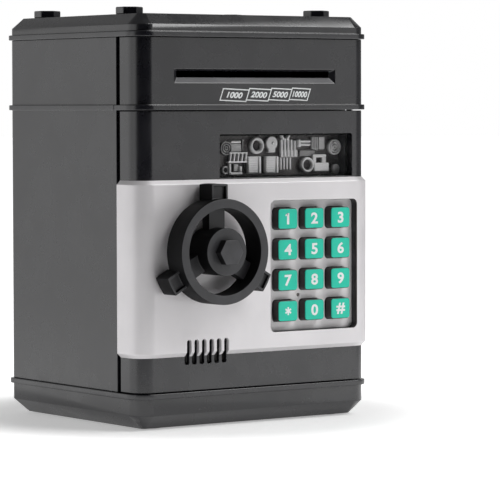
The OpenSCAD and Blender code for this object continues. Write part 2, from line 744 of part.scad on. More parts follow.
// The motor's leads, swept along their route
lead_route = [[-23.5, hd - 9.7, board_z1 - 2.9], [-24.5, hd - 9.7, board_z1 + 2],
              [-31, hd - 7.5, deck_z0 - 4],
              [-38.5, hd - 6.2, deck_z0 + 1], [-40, hd - 9, deck_z + 5], [-38, 20, deck_z + 3],
              [-30, 2, deck_z + 6], [-20, -6, pinion_z - 6],
              [motor_x0 + motor_l + 6, pinion_y, pinion_z],
              [motor_x0 + motor_l + 1.55, pinion_y, pinion_z]];
function bend(p, t) = let (n = len(p) - 1, k = min(floor(t * n), n - 1), u = t * n - k,
  a = p[max(k - 1, 0)], b = p[k], c = p[k + 1], d = p[min(k + 2, n)])
  0.5 * (2 * b + (c - a) * u + (2 * a - 5 * b + 4 * c - d) * u * u + (3 * b - a - 3 * c + d) * u * u * u);
function unit(v) = v / norm(v);
module cable(route, d, rings, sides) {
  ring = [for (i = [0:rings]) let (
    t = i / rings, q = bend(route, t),
    w = unit(bend(route, min(t + 0.01, 1)) - bend(route, max(t - 0.01, 0))),
    side = unit(cross(w, abs(w[2]) > 0.9 ? [1, 0, 0] : [0, 0, 1])), up = cross(side, w))
    each [for (s = [0:sides - 1]) q + d / 2 * (cos(s * 360 / sides) * side + sin(s * 360 / sides) * up)]];
  walls = [for (i = [0:rings - 1], s = [0:sides - 1]) let (n = (s + 1) % sides)
    [i * sides + s, i * sides + n, (i + 1) * sides + n, (i + 1) * sides + s]];
  ends = [[for (s = [sides - 1:-1:0]) s], [for (s = [0:sides - 1]) rings * sides + s]];
  polyhedron(ring, concat(walls, ends));
}
module motor_leads() {
  color([0.7, 0.1, 0.1]) cable(lead_route, lead_d, 40, 8);
}

bay_y0 = hd - wall - bay_depth;
cell_x = cell_l / 2;
function cell_z(k) = bay_z0 + 0.4 + cell_pitch * (k + 0.5);
cell_y = hd - wall - cell_d / 2 - 0.4;
module battery_box() {
  color([0.13, 0.13, 0.14]) difference() {
    union() {
      block([-bay_w / 2 - bay_t, bay_y0 - bay_t, bay_z0 - bay_t],
            [bay_w / 2 + bay_t, hd - wall, bay_z1 + bay_t]);
      block([-hatch_w / 2 - 3, hd - wall - 1.4, hatch_z0 - 3], [hatch_w / 2 + 3, hd - wall, hatch_z1 + 3]);
      rod_y(0, hatch_z1 - 3.5, hd - wall - 8, hd - wall, 5);
    }
    block([-bay_w / 2, bay_y0, bay_z0], [bay_w / 2, hd, bay_z1]);
    for (s = [-1, 1]) translate([s * 20, 0, 0])
      block([-4, hd - wall - 2, hatch_z0 - 4], [4, hd, hatch_z0 + 4.2]);
    rod_y(0, hatch_z1 - 3.5, hd - wall - 7, hd + 1, 3.2);
  }
}

module cells() {
  color([0.15, 0.35, 0.2]) for (k = [0:cell_n - 1]) {
    s = k % 2 == 0 ? 1 : -1;
    rod_x(cell_y, cell_z(k), -cell_x + (s < 0 ? 1 : 0), cell_x - (s > 0 ? 1 : 0), cell_d);
    rod_x(cell_y, cell_z(k), s > 0 ? cell_x - 1 - eps : -cell_x, s > 0 ? cell_x : -cell_x + 1 + eps, 5.2);
  }
}

module cell_contacts() {
  color("silver") for (k = [0:cell_n - 1], s = [-1, 1]) {
    x = s * bay_w / 2;
    mirror([s < 0 ? 1 : 0, 0, 0]) {
      block([bay_w / 2 - 0.5, cell_y - 5, cell_z(k) - 5], [bay_w / 2, cell_y + 5, cell_z(k) + 5]);
      rod_x(cell_y, cell_z(k), cell_x, bay_w / 2 - 0.5 + eps, (k % 2 == 0) == (s < 0) ? 7 : 5);
    }
  }
}

hatch_gap = gap;
hatch_screw_z = hatch_z1 - 3.5;
module battery_cover() {
  x = hatch_w / 2 - hatch_gap;
  color([0.24, 0.24, 0.25]) difference() {
    union() {
      block([-x, hd - cover_t, hatch_pivot_z], [x, hd, hatch_z1 - hatch_gap]);
      rod_x(hatch_pivot_y, hatch_pivot_z, -x, x, cover_t);
      for (s = [-1, 1]) translate([s * 20, 0, 0]) {
        block([-3, hd - wall - 1.7, hatch_pivot_z - 0.5], [3, hatch_pivot_y, hatch_pivot_z + 0.7]);
        block([-3, hd - wall - 1.7, hatch_pivot_z - 2.6], [3, hd - wall - 0.4, hatch_pivot_z + 0.7]);
      }
    }
    rod_y(0, hatch_screw_z, hd - cover_t - 1, hd + 1, 2.4);
    rod_y(0, hatch_screw_z, hd - 0.7, hd + 1, 5);
  }
}

module cover_screw() {
  color("silver") difference() {
    union() {
      rod_y(0, hatch_screw_z, hd - cover_t - 1.2, hd - 0.7 + eps, 2.4);
      rod_y(0, hatch_screw_z, hd - 0.7, hd, 5);
    }
    block([-1.6, hd - 0.4, hatch_screw_z - 0.3], [1.6, hd + 1, hatch_screw_z + 0.3]);
    block([-0.3, hd - 0.4, hatch_screw_z - 1.6], [0.3, hd + 1, hatch_screw_z + 1.6]);
  }
}

module hinge_pins() {
  color("silver") for (z = [base_h - pin_bury, mid_z - pin_reach])
    translate([hinge_x, hinge_y, z]) cylinder(d = pin_d, h = pin_bury + pin_reach);
}

module latch_strike() {
  color([0.7, 0.7, 0.72]) difference() {
    block([strike_x0, shell_y - lip_reach, bolt_top - bolt_h - 6],
          [strike_x0 + strike_t, shell_y + 2, bolt_top + 6]);
    bolt_window(-hw, strike_x0 + strike_t + 1);
  }
}

// ---- door ----

door_posts = [[-hw + 12, liner_z0 + 8], [-hw + 12, liner_z1 - 8], [hw - 15, liner_z0 + 8],
              [hw - 15, (well_z1 + win_z0) / 2]];
post_d = 6;
post_screw = 2.2;
grille_x0 = wheel_x - 9.5;
speaker_x = grille_x0 + (grille_n - 1) * grille_pitch / 2;
speaker_z = (grille_z0 + grille_z1) / 2 + 2;
speaker_d = 28;

// The sound slots, cut from depth y0 to y1
module grille(y0, y1) {
  for (k = [0:grille_n - 1]) translate([grille_x0 + k * grille_pitch, 0, 0]) {
    block([-grille_w / 2, y0, grille_z0 + grille_w / 2], [grille_w / 2, y1, grille_z1 - grille_w / 2]);
    for (z = [grille_z0 + grille_w / 2, grille_z1 - grille_w / 2]) rod_y(0, z, y0, y1, grille_w);
  }
}

module door_shell() {
  tube_t = 1.5;
  color([0.22, 0.22, 0.23]) difference() {
    union() {
      difference() {
        translate([0, 0, door_z0]) linear_extrude(door_z1 - door_z0) plan_part(0, face_y - 1, return_y);
        translate([0, 0, door_z0 + wall]) linear_extrude(door_z1 - door_z0 - 2 * wall) plan(-wall);
      }
      intersection() {
        translate([hinge_x, hinge_y, door_z0]) cylinder(r = knuckle_r, h = door_z1 - door_z0);
        translate([0, 0, door_z0]) linear_extrude(door_z1 - door_z0) plan();
      }
      slab(win_x0 - tube_t, win_x1 + tube_t, win_z0 - tube_t, win_z1 + tube_t,
           door_in_y - eps, relief_y, 0.4);
      rod_y(wheel_x, wheel_z, door_in_y - eps, bolt_y - 2.2, shaft_d + 6);
      rod_y(speaker_x, speaker_z, door_in_y - eps, door_in_y + 3, speaker_d + 3.4);
      for (p = door_posts) rod_y(p[0], p[1], door_in_y - eps, liner_y - liner_t, post_d);
    }
    slab(win_x0, win_x1, win_z0, win_z1, face_y - 1, relief_y + 1, 0.4);
    slab(well_x0, well_x1, well_z0, well_z1, face_y - 1, door_in_y + eps, well_r);
    rod_y(wheel_x, wheel_z, face_y - 1, hd, bore_d);
    grille(face_y - 1, door_in_y + 1);
    rod_y(speaker_x, speaker_z, door_in_y, door_in_y + 4, speaker_d + 0.4);
    for (p = door_posts) rod_y(p[0], p[1], liner_y - 10, hd, post_screw);
    for (z = [door_z0 - 1, door_z1 - pin_reach - 1]) translate([hinge_x, hinge_y, z])
      cylinder(d = pin_d + 2 * run_fit, h = pin_reach + 2);
  }
}

module silver_fascia() {
  color([0.8, 0.79, 0.8]) difference() {
    hull() {
      translate([0, 0, fas_z0]) linear_extrude(fascia_h) plan(fascia_t);
      translate([0, 0, fas_z0 - fas_slope]) linear_extrude(fascia_h + 2 * fas_slope) plan();
    }
    translate([0, 0, fas_z0 - 5]) linear_extrude(fascia_h + 10) plan();
    block([-2 * hw, return_y - 0.1, fas_z0 - 5], [0, 2 * hd, fas_z1 + 5]);
    block([-1, return_y - 0.6, fas_z0 - 5], [2 * hw, 2 * hd, fas_z1 + 5]);
    slab(well_x0, well_x1, well_z0, well_z1, face_y - 5, face_y + 1, well_r);
    rod_y(wheel_x, wheel_z, face_y - 5, face_y + 1, bore_d + 1);
    grille(face_y - 5, face_y + 1);
  }
}

lamp_x = key_x(0) + 9.05;
lamp_z = key_z(0) + 7;
lamp_d = 1.8;
module keypad_plate() {
  color([0.8, 0.79, 0.8]) difference() {
    union() {
      slab(well_x0 + seam, well_x1 - seam, well_z0 + seam, well_z1 - seam,
           well_y, door_in_y + seam + eps, well_r - seam);
      slab(well_x0 - 1, well_x1 + 1, well_z0 - 1, well_z1 + 1, door_in_y + seam, well_y + plate_t, well_r);
    }
    for (k = KEYS) key_block(k[1], k[2], gap, well_y - 1, well_y + plate_t + 1);
    rod_y(lamp_x, lamp_z, well_y - 1, well_y + plate_t + 1, lamp_d);
  }
}

module window_pane() {
  color([0.8, 0.85, 0.88, 0.3])
    slab(win_x0 + seam, win_x1 - seam, win_z0 + seam, win_z1 - seam, pane_y, pane_y + pane_t, 0.4);
}

// A cell of the relief: a share of the window's width and height, from its lower left corner
function rel_x(u) = win_x0 + u * win_w;
function rel_z(v) = win_z0 + v * win_h;
module relief_ring(u, v, d, id, h) {
  difference() {
    rod_y(rel_x(u), rel_z(v), relief_y - h, relief_y + eps, d);
    rod_y(rel_x(u), rel_z(v), relief_y - h - 1, relief_y, id);
  }
}
module relief_block(u0, u1, v0, v1, h) {
  block([rel_x(u0), relief_y - h, rel_z(v0)], [rel_x(u1), relief_y + eps, rel_z(v1)]);
}
module relief_insert() {
  color([0.6, 0.59, 0.6]) {
    block([win_x0 - 1.5, relief_y, win_z0 - 1.5], [win_x1 + 1.5, relief_y + relief_t, win_z1 + 1.5]);
    relief_ring(0.33, 0.72, 7.5, 5, 3.5);
    relief_ring(0.69, 0.24, 6.6, 4.6, 3.5);
    relief_ring(0.92, 0.66, 6.6, 2, 3);
    relief_ring(0.44, 0.74, 6.4, 2, 2.5);
    relief_block(0.1, 0.19, 0.5, 0.8, 2);
    relief_block(0.07, 0.22, 0.3, 0.5, 3);
    relief_block(0.26, 0.355, 0.05, 0.44, 4);
    relief_block(0.4, 0.49, 0.05, 0.44, 4);
    relief_block(0.52, 0.63, 0.1, 0.93, 3);
    relief_block(0.67, 0.75, 0.66, 0.84, 4);
    relief_block(0.75, 0.84, 0.06, 0.46, 3);
    relief_block(0.77, 0.84, 0.6, 0.94, 2);
  }
}

module door_liner() {
  rim_y0 = face_y + 9;
  rim_t = 1.2;
  inner_y = liner_y - liner_t;
  guide_w = 4;
  color([0.2, 0.2, 0.21]) difference() {
    union() {
      difference() {
        slab(liner_x0, liner_x1, liner_z0, liner_z1, rim_y0, liner_y, 3);
        slab(liner_x0 + liner_t, liner_x1 - liner_t, liner_z0 + liner_t, liner_z1 - liner_t,
             rim_y0 - 1, inner_y, 3 - liner_t);
      }
      difference() {
        block([-hw + wall + side_gap, rim_y0, door_z0 + wall + side_gap],
              [liner_x1, rim_y0 + rim_t, door_z1 - wall - side_gap]);
        slab(liner_x0 + eps, liner_x1 - eps, liner_z0 + eps, liner_z1 - eps, rim_y0 - 1, rim_y0 + 2, 3);
      }
      for (x = [bolt_x0 + 5, wheel_x + 15.5])
        block([x, bolt_y - 2.4, bolt_top - bolt_h - 2.4], [x + guide_w, inner_y + eps, bolt_top + 2.4]);
    }
    bolt_window(liner_x0 - 1, bolt_x1 + 2);
    for (p = door_posts) rod_y(p[0], p[1], inner_y - 1, liner_y + 1, post_screw + 0.4);
  }
}

module door_screws() {
  head_t = 1.4;
  color("silver") for (p = door_posts) difference() {
    union() {
      rod_y(p[0], p[1], liner_y - 9, liner_y + eps, post_screw);
      rod_y(p[0], p[1], liner_y, liner_y + head_t, 4.6);
    }
    block([p[0] - 1.5, liner_y + head_t - 0.6, p[1] - 0.3], [p[0] + 1.5, liner_y + 3, p[1] + 0.3]);
    block([p[0] - 0.3, liner_y + head_t - 0.6, p[1] - 1.5], [p[0] + 0.3, liner_y + 3, p[1] + 1.5]);
  }
}

flange_y = well_y + plate_t + gap;
flange_t = 1;
flange_out = 1;
membrane_y = flange_y + flange_t + key_travel + gap;
membrane_t = 1;
module keypad_membrane() {
  color([0.75, 0.75, 0.75])
    slab(well_x0 - 1, well_x1 + 1, well_z0 - 1, well_z1 + 1, membrane_y, membrane_y + membrane_t, 1);
}

module keypad_board() {
  color([0.1, 0.4, 0.22]) difference() {
    slab(well_x0 - 1, well_x1 + 1, well_z0 - 1, well_z1 + 1,
         membrane_y + membrane_t, membrane_y + membrane_t + 1.4, 1);
    for (x = [well_x0 + 2, well_x1 - 2], z = [well_z0 + 2, well_z1 - 2])
      rod_y(x, z, membrane_y - 1, membrane_y + 5, 2);
  }
}

module speaker() {
  y0 = door_in_y + 0.2;
  color([0.12, 0.12, 0.13]) difference() {
    rod_y(speaker_x, speaker_z, y0, y0 + 2.6, speaker_d);
    rod_y(speaker_x, speaker_z, y0 - 1, y0 + 1.2, speaker_d - 4);
  }
  color("silver") rod_y(speaker_x, speaker_z, y0 + 2.6 - eps, y0 + 6, speaker_d - 12);
}

module status_lamp() {
  color([0.9, 0.2, 0.2]) {
    rod_y(lamp_x, lamp_z, well_y + 0.4, well_y + plate_t + eps, lamp_d - 0.1);
    rod_y(lamp_x, lamp_z, well_y + plate_t, membrane_y, lamp_d + 0.8);
  }
}

plunger_y = bolt_y + bolt_t / 2;
core_d = 5;
spring_h = 5;
module lock_solenoid() {
  color([0.72, 0.72, 0.74]) difference() {
    block([sol_x - sol_w / 2, plunger_y - sol_d / 2, sol_z0],
          [sol_x + sol_w / 2, plunger_y + sol_d / 2, sol_z0 + sol_h]);
    translate([sol_x, plunger_y, sol_z0 - 1]) cylinder(d = core_d + 2 * run_fit, h = sol_h + 2);
    for (s = [-1, 1]) translate([sol_x, plunger_y + s * sol_d / 2, sol_z0 + 1.5])
      translate([-sol_w / 2 - 1, s > 0 ? -1.6 : -1, 0]) cube([sol_w + 2, 2.6, sol_h - 3]);
  }
  color([0.7, 0.35, 0.15]) difference() {
    translate([sol_x, plunger_y, sol_z0 + 1.5 - eps]) cylinder(d = sol_d - 1, h = sol_h - 3 + 2 * eps);
    translate([sol_x, plunger_y, sol_z0 - 1]) cylinder(d = core_d + 2 * run_fit, h = sol_h + 2);
  }
}

module lock_plunger() {
  tip_z = bolt_top + 1;
  head_z = sol_z0 + sol_h + spring_h;
  color("silver") translate([sol_x, plunger_y, 0]) {
    translate([0, 0, tip_z]) cylinder(d = plunger_d, h = head_z - tip_z);
    translate([0, 0, sol_z0 - 0.3]) cylinder(d = core_d, h = sol_h - 1);
    translate([0, 0, head_z - eps]) cylinder(d = 6.4, h = 1.2);
  }
}

spring_wire = 0.6;
spring_turns = 5;
module plunger_spring() {
  color("silver") for (k = [0:spring_turns - 1])
    translate([sol_x, plunger_y, sol_z0 + sol_h + 0.35 + (spring_h - 0.7) * k / (spring_turns - 1)])
      rotate_extrude() translate([2.7, 0]) circle(d = spring_wire, $fn = 16);
}

// ---- latch and vault wheel ----

rack_pitch = PI * latch_module;
tooth_slack = 0.16;
pinion_w = bolt_t;
module latch_bolt() {
  m = latch_module;
  half = rack_pitch / 4 - tooth_slack / 2;
  slope = tan(25);
  bar_z = bolt_z + 1.05 * m;
  color([0.75, 0.75, 0.77]) translate([0, bolt_y + bolt_t, 0]) rotate([90, 0, 0]) linear_extrude(bolt_t) {
    difference() {
      translate([bolt_x0, bar_z]) square([bolt_x1 - bolt_x0, bolt_h]);
      for (x = [sol_x, sol_x + throw]) translate([x - notch_w / 2, bolt_top - plunger_stroke + 0.6])
        square([notch_w, plunger_stroke]);
    }
    for (k = [-4:4]) translate([wheel_x + (k + 0.5) * rack_pitch, bolt_z]) polygon([
      [-half - slope * 1.05 * m, 1.05 * m + eps], [-half + slope * 0.8 * m, -0.8 * m],
      [half - slope * 0.8 * m, -0.8 * m], [half + slope * 1.05 * m, 1.05 * m + eps]]);
  }
}

module wheel_shaft() {
  color([0.6, 0.6, 0.62]) {
    rod_y(wheel_x, wheel_z, rim_y + 3, clip_y + 2, shaft_d);
    translate([wheel_x, bolt_y + pinion_w, wheel_z]) rotate([90, 0, 0]) linear_extrude(pinion_w)
      rotate(90) gear_outline(latch_module, latch_teeth, tooth_slack);
  }
}

module shaft_clip() {
  color([0.3, 0.3, 0.3]) difference() {
    rod_y(wheel_x, wheel_z, clip_y, clip_y + 1, shaft_d + 4);
    rod_y(wheel_x, wheel_z, clip_y - 1, clip_y + 2, shaft_d);
    block([wheel_x - 2, clip_y - 1, wheel_z - shaft_d], [wheel_x + 2, clip_y + 2, wheel_z]);
  }
}

lug_edge = 1.2;
lug_pocket = 1.4;
lug_w = spoke_w + 0.2;
lug_back_y = fas_y - 0.8;
module vault_wheel() {
  round_r = 0.6;
  color([0.2, 0.2, 0.21]) translate([wheel_x, 0, wheel_z]) difference() {
    union() {
      translate([0, rim_y + rim_t, 0]) rotate([90, 0, 0]) rotate_extrude() {
        translate([rim_id / 2, 0]) square([(rim_d - rim_id) / 2, rim_t]);
      }
      rod_y(0, 0, hub_y, hub_back_y, hub_d);
      for (a = [0:120:240]) rotate([0, a, 0]) {
        block([-spoke_w / 2, spoke_y, 0], [spoke_w / 2, rim_y + rim_t, rim_id / 2 + 1]);
        intersection() {
          difference() {
            block([-lug_w / 2, lug_y, rim_d / 2 - 1], [lug_w / 2, lug_back_y, lug_r]);
            block([-lug_w / 2 + lug_edge, lug_y - 1, 0],
                  [lug_w / 2 - lug_edge, lug_y + lug_pocket, lug_r - lug_edge]);
          }
          rod_y(0, 0, lug_y - 1, lug_back_y + 1, 2 * lug_r);
        }
      }
    }
    rod_y(0, 0, rim_y + 3, hub_back_y + 1, shaft_d);
  }
}

hex_out = 4;
module hex_cap() {
  color([0.2, 0.2, 0.21]) translate([wheel_x, hub_y, wheel_z]) rotate([90, 0, 0])
    cylinder(d = hex_af / cos(30), h = hex_out, $fn = 6);
}

// ---- keys ----

// A key's outline in column c and row r, grown by g, from depth y0 to y1
key_r = 1.5;
module key_block(c, r, g, y0, y1) {
  x = key_w / 2 + g;
  z = key_h / 2 + g;
  slab(key_x(c) - x, key_x(c) + x, key_z(r) - z, key_z(r) + z, y0, y1, key_r + max(g, 0));
}
module key_at(c, r) {
  color([0.15, 0.82, 0.68]) {
    key_block(c, r, 0, well_y - key_out, flange_y + eps);
    key_block(c, r, flange_out, flange_y, flange_y + flange_t);
  }
}
module key_named(name) {
  for (k = KEYS) if (k[0] == name) key_at(k[1], k[2]);
}

base_tray();
rubber_feet();
case_screws();
body_shell();
front_top_panel();
top_cover();
corner_studs();
coin_chute();
chamber_deck();
feeder_frame();
feeder_motor();
motor_pinion();
idler_gear();
drive_axle();
drive_rollers();
pinch_axle();
pinch_rollers();
pinch_springs();
note_switch();
switch_lever();
main_board();
motor_leads();
battery_box();
cells();
cell_contacts();
battery_cover();
cover_screw();
hinge_pins();
latch_strike();
door_shell();
silver_fascia();
keypad_plate();
window_pane();
relief_insert();
door_liner();
door_screws();
keypad_membrane();
keypad_board();
speaker();
status_lamp();
lock_solenoid();
lock_plunger();
plunger_spring();
latch_bolt();
vault_wheel();
hex_cap();
wheel_shaft();
shaft_clip();
key_named("key_1");  // key_1
key_named("key_2");  // key_2
key_named("key_3");  // key_3
key_named("key_4");  // key_4
key_named("key_5");  // key_5
key_named("key_6");  // key_6
key_named("key_7");  // key_7
key_named("key_8");  // key_8
key_named("key_9");  // key_9
key_named("key_star");  // key_star
key_named("key_0");  // key_0
key_named("key_hash");  // key_hash
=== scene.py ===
# %% [markdown]
# # A toy cash machine on a safe
#
# The object is a battery money box: a black case with four studs on its lid, a note slot under the lid, and a
# front that is one big door with a silver fascia, a keypad, a vault wheel and a small window over a relief of
# machine parts. The working model comes from CAD and is loaded first, because every piece made here takes its
# place from it.

# %% Load the working model
import json
import math

import bmesh
import bpy
from mathutils import Matrix, Quaternion, Vector
from mathutils.bvhtree import BVHTree


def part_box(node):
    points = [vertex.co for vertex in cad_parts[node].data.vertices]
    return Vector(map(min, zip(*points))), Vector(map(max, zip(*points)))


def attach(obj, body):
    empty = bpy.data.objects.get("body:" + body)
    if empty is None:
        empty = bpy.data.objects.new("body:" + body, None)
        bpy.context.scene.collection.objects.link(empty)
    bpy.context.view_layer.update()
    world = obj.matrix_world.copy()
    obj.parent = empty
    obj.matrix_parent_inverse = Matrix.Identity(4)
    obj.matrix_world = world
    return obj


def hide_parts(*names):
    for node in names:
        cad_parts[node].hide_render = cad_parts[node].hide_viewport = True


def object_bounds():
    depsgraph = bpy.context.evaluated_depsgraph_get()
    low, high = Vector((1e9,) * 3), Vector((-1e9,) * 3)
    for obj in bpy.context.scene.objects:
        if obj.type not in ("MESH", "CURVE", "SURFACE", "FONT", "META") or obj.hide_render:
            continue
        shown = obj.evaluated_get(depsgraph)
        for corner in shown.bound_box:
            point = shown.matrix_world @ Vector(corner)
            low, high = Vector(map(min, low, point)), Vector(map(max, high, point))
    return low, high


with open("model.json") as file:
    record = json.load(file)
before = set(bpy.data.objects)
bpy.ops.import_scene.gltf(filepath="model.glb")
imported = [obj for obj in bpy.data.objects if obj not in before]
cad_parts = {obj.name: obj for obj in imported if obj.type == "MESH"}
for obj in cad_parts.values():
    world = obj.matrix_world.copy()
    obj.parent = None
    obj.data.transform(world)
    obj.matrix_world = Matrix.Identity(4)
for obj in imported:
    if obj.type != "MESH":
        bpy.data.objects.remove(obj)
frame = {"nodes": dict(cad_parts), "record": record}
cad_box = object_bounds()
MM = 0.001
slot_of = {node: part.material_slots[0].material.name for node, part in frame["nodes"].items()}
for plain in list(bpy.data.materials):
    bpy.data.materials.remove(plain)
print("nodes:", len(frame["nodes"]), "box in mm:", [round(c / MM, 1) for corner in cad_box for c in corner])

# %% [markdown]
# ## The camera
#
# A product picture is taken from far away with a long lens, so that upright edges stay upright. The camera
# stands a metre and a half off, a little to the left, and looks almost level. A small shift frames the toy
# without tilting the camera, which would make its sides lean.

# %% Place the camera
camera_at = Vector((-0.7787, -1.1317, 0.1454))
heading, pitch, roll = math.radians(35.71), math.radians(2.27), math.radians(-0.13)
looking = Vector((math.sin(heading) * math.cos(pitch), math.cos(heading) * math.cos(pitch), -math.sin(pitch)))
camera = bpy.data.objects.new("camera", bpy.data.cameras.new("camera"))
camera.location = camera_at
camera.rotation_euler = (looking.to_track_quat("-Z", "Y") @ Quaternion((0, 0, 1), roll)).to_euler()
camera.data.lens = 208.97
camera.data.shift_x, camera.data.shift_y = 0.004, -0.0597
bpy.context.scene.collection.objects.link(camera)
bpy.context.scene.camera = camera
print("camera is", round(camera_at.length, 2), "m from the toy")

# %% [markdown]
# ## Wiring the materials
#
# The light of the room, the floor and every finish are small trees of shader nodes. Four helpers wire them, so
# that a recipe reads as one line a step: add a node, map one range onto another, join two values, and ask how
# far a direction points along an axis.

# %% Helpers that wire shader nodes
def node_in(tree, kind, **values):
    """Adds a node and sets its properties; a key that starts with in_ sets that input."""
    made = tree.nodes.new(kind)
    for key, value in values.items():
        if key.startswith("in_"):
            made.inputs[key[3:].replace("_", " ").title()].default_value = value
        else:
            setattr(made, key, value)
    return made


def step_in(tree, source, low, high, at_low=0.0, at_high=1.0, smooth=False):
    """Maps low..high of a value to at_low..at_high."""
    made = node_in(tree, "ShaderNodeMapRange", interpolation_type="SMOOTHSTEP" if smooth else "LINEAR")
    for socket, value in zip((1, 2, 3, 4), (low, high, at_low, at_high)):
        made.inputs[socket].default_value = value
    tree.links.new(source, made.inputs[0])
    return made.outputs[0]


def join_in(tree, operation, first, second):
    """Joins two values with a sum, a product or whichever is the greater."""
    made = node_in(tree, "ShaderNodeMath", operation=operation)
    tree.links.new(first, made.inputs[0])
    tree.links.new(second, made.inputs[1])
    return made.outputs[0]


def toward_in(tree, direction, axis):
    """How far a direction points along an axis: 1 along it, 0 square to it."""
    made = node_in(tree, "ShaderNodeVectorMath", operation="DOT_PRODUCT")
    made.inputs[1].default_value = axis
    tree.links.new(direction, made.inputs[0])
    return made.outputs["Value"]


# %% [markdown]
# ## The studio
#
# Black plastic shows almost nothing of its own: what the eye reads is what it reflects. The room is therefore
# white low down and dark overhead, which turns the sloped shoulders black. It is black too in a wide zone in
# front of the toy's left corner, and dim to the right. The rounded corner mirrors the first as a black line
# down its whole height, as a black card held beside the lens would. A zone is written as the way it lies in,
# where it starts and where it is full, measured along that way, and how much light is left in it.

# %% Build the room's light
DARK_ZONES = (((-0.407, -0.914, 0), 0.56, 0.68, 0.0),
              ((1, 0, 0), 0.70, 0.86, 0.2),
              ((-0.583, 0.811, 0), 0.6, 0.9, 0.75))
OVERHEAD_FROM, OVERHEAD_FULL, OVERHEAD_LIGHT = 0.30, 0.62, 0.16
world = bpy.data.worlds.new("studio")
bpy.context.scene.world = world
world.use_nodes = True
sky = world.node_tree
sky.nodes.clear()
direction = node_in(sky, "ShaderNodeTexCoord").outputs["Generated"]
height = toward_in(sky, direction, (0, 0, 1))
level = step_in(sky, height, OVERHEAD_FROM, OVERHEAD_FULL, 1.0, OVERHEAD_LIGHT, smooth=True)
for axis, start, full, left_over in DARK_ZONES:
    dimmed = step_in(sky, toward_in(sky, direction, axis), start, full, 1.0, left_over, smooth=True)
    level = join_in(sky, "MULTIPLY", level, dimmed)
glow = node_in(sky, "ShaderNodeBackground")
sky.links.new(level, glow.inputs["Color"])
glow.inputs["Strength"].default_value = 1.0
sky.links.new(glow.outputs[0], node_in(sky, "ShaderNodeOutputWorld").inputs["Surface"])
bpy.context.scene.view_settings.view_transform = "Standard"
print("dark zones:", len(DARK_ZONES))

# %% [markdown]
# A big soft lamp at the upper right throws the wheel's shadow to the left, and a weak one behind lifts the left
# side. Both are square sheets of light: the bigger the sheet, the softer the shadow and the calmer the glint.

# %% Hang the lamps
AIM = Vector((0, 0, 0.09))


def soft_lamp(name, at, size, power):
    """A square soft lamp that faces the middle of the toy."""
    lamp = bpy.data.objects.new(name, bpy.data.lights.new(name, "AREA"))
    lamp.data.size, lamp.data.energy = size, power
    lamp.location = at
    lamp.rotation_euler = (AIM - Vector(at)).to_track_quat("-Z", "Y").to_euler()
    bpy.context.scene.collection.objects.link(lamp)
    return lamp


lamps = [soft_lamp("key_lamp", (0.95, -0.95, 1.5), 1.1, 22),
         soft_lamp("left_lamp", (-1.15, 1.0, 0.3), 1.0, 1.0)]
print("lamps:", [lamp.name for lamp in lamps])

# %% [markdown]
# ## Finishes
#
# Moulded plastic is never one flat colour. The melt leaves faint clouds of lighter and darker resin, the mould
# leaves a fine grain, hands leave patches that are a little shinier, and edges rub pale. One recipe makes all
# four from noise on the piece's own coordinates, so the pattern stays put when the piece moves.

# %% A recipe for a finish
CLOUD_BAND = (0.3, 0.7)          # the noise values that go from the darkest cloud to the lightest
RUBBED_EDGE = (0.53, 0.62)       # how sharp an edge is before it rubs pale
RUBBED_PATCH, RUBBED_SCALE = (0.4, 0.65), 160
SMUDGE_SCALE, SMUDGE_DETAIL = 70, 5.0
GRAIN_STRENGTH, GRAIN_DETAIL = 0.35, 2.0


def noise_in(tree, place, scale, detail=3.0):
    """Noise on the piece's own coordinates; scale is in features per metre."""
    made = node_in(tree, "ShaderNodeTexNoise", in_scale=scale, in_detail=detail)
    tree.links.new(place, made.inputs["Vector"])
    return made.outputs["Fac"]


def blend_in(tree, share, first, second):
    """Mixes two colours; each is a plain colour or another node's socket."""
    made = node_in(tree, "ShaderNodeMix", data_type="RGBA")
    tree.links.new(share, made.inputs[0])
    for socket, value in ((6, first), (7, second)):
        if isinstance(value, (tuple, list)):
            made.inputs[socket].default_value = (*value, 1)
        else:
            tree.links.new(value, made.inputs[socket])
    return made.outputs[2]


def shade(colour, factor):
    """A colour made lighter or darker."""
    return tuple(min(1.0, c * factor) for c in colour)


def finish(name, colour, rough, metal=0.0, cloud=0.12, cloud_scale=45, grain=3200, depth=0.012,
           worn=1.6, smudge=0.18, **sockets):
    """A moulded, painted or metal finish with clouds, grain, smudges and rubbed edges."""
    made = bpy.data.materials.new(name)
    made.use_nodes = True
    tree = made.node_tree
    skin = tree.nodes["Principled BSDF"]
    skin.inputs["Metallic"].default_value = metal
    for key, value in sockets.items():
        skin.inputs[key.replace("_", " ").title().replace("Ior", "IOR")].default_value = value
    place = node_in(tree, "ShaderNodeTexCoord").outputs["Object"]
    clouds = step_in(tree, noise_in(tree, place, cloud_scale), *CLOUD_BAND)
    tint = blend_in(tree, clouds, shade(colour, 1 - cloud), shade(colour, 1 + cloud))
    rubbed = step_in(tree, node_in(tree, "ShaderNodeNewGeometry").outputs["Pointiness"], *RUBBED_EDGE)
    patches = step_in(tree, noise_in(tree, place, RUBBED_SCALE), *RUBBED_PATCH)
    patchy = join_in(tree, "MULTIPLY", rubbed, patches)
    tree.links.new(blend_in(tree, patchy, tint, shade(colour, worn)), skin.inputs["Base Color"])
    low, high = rough * (1 - smudge), min(1.0, rough * (1 + smudge))
    smudges = step_in(tree, noise_in(tree, place, SMUDGE_SCALE, SMUDGE_DETAIL), *CLOUD_BAND, low, high)
    tree.links.new(smudges, skin.inputs["Roughness"])
    bump = node_in(tree, "ShaderNodeBump", in_strength=GRAIN_STRENGTH, in_distance=depth * MM)
    tree.links.new(noise_in(tree, place, grain, GRAIN_DETAIL), bump.inputs["Height"])
    tree.links.new(bump.outputs["Normal"], skin.inputs["Normal"])
    return made


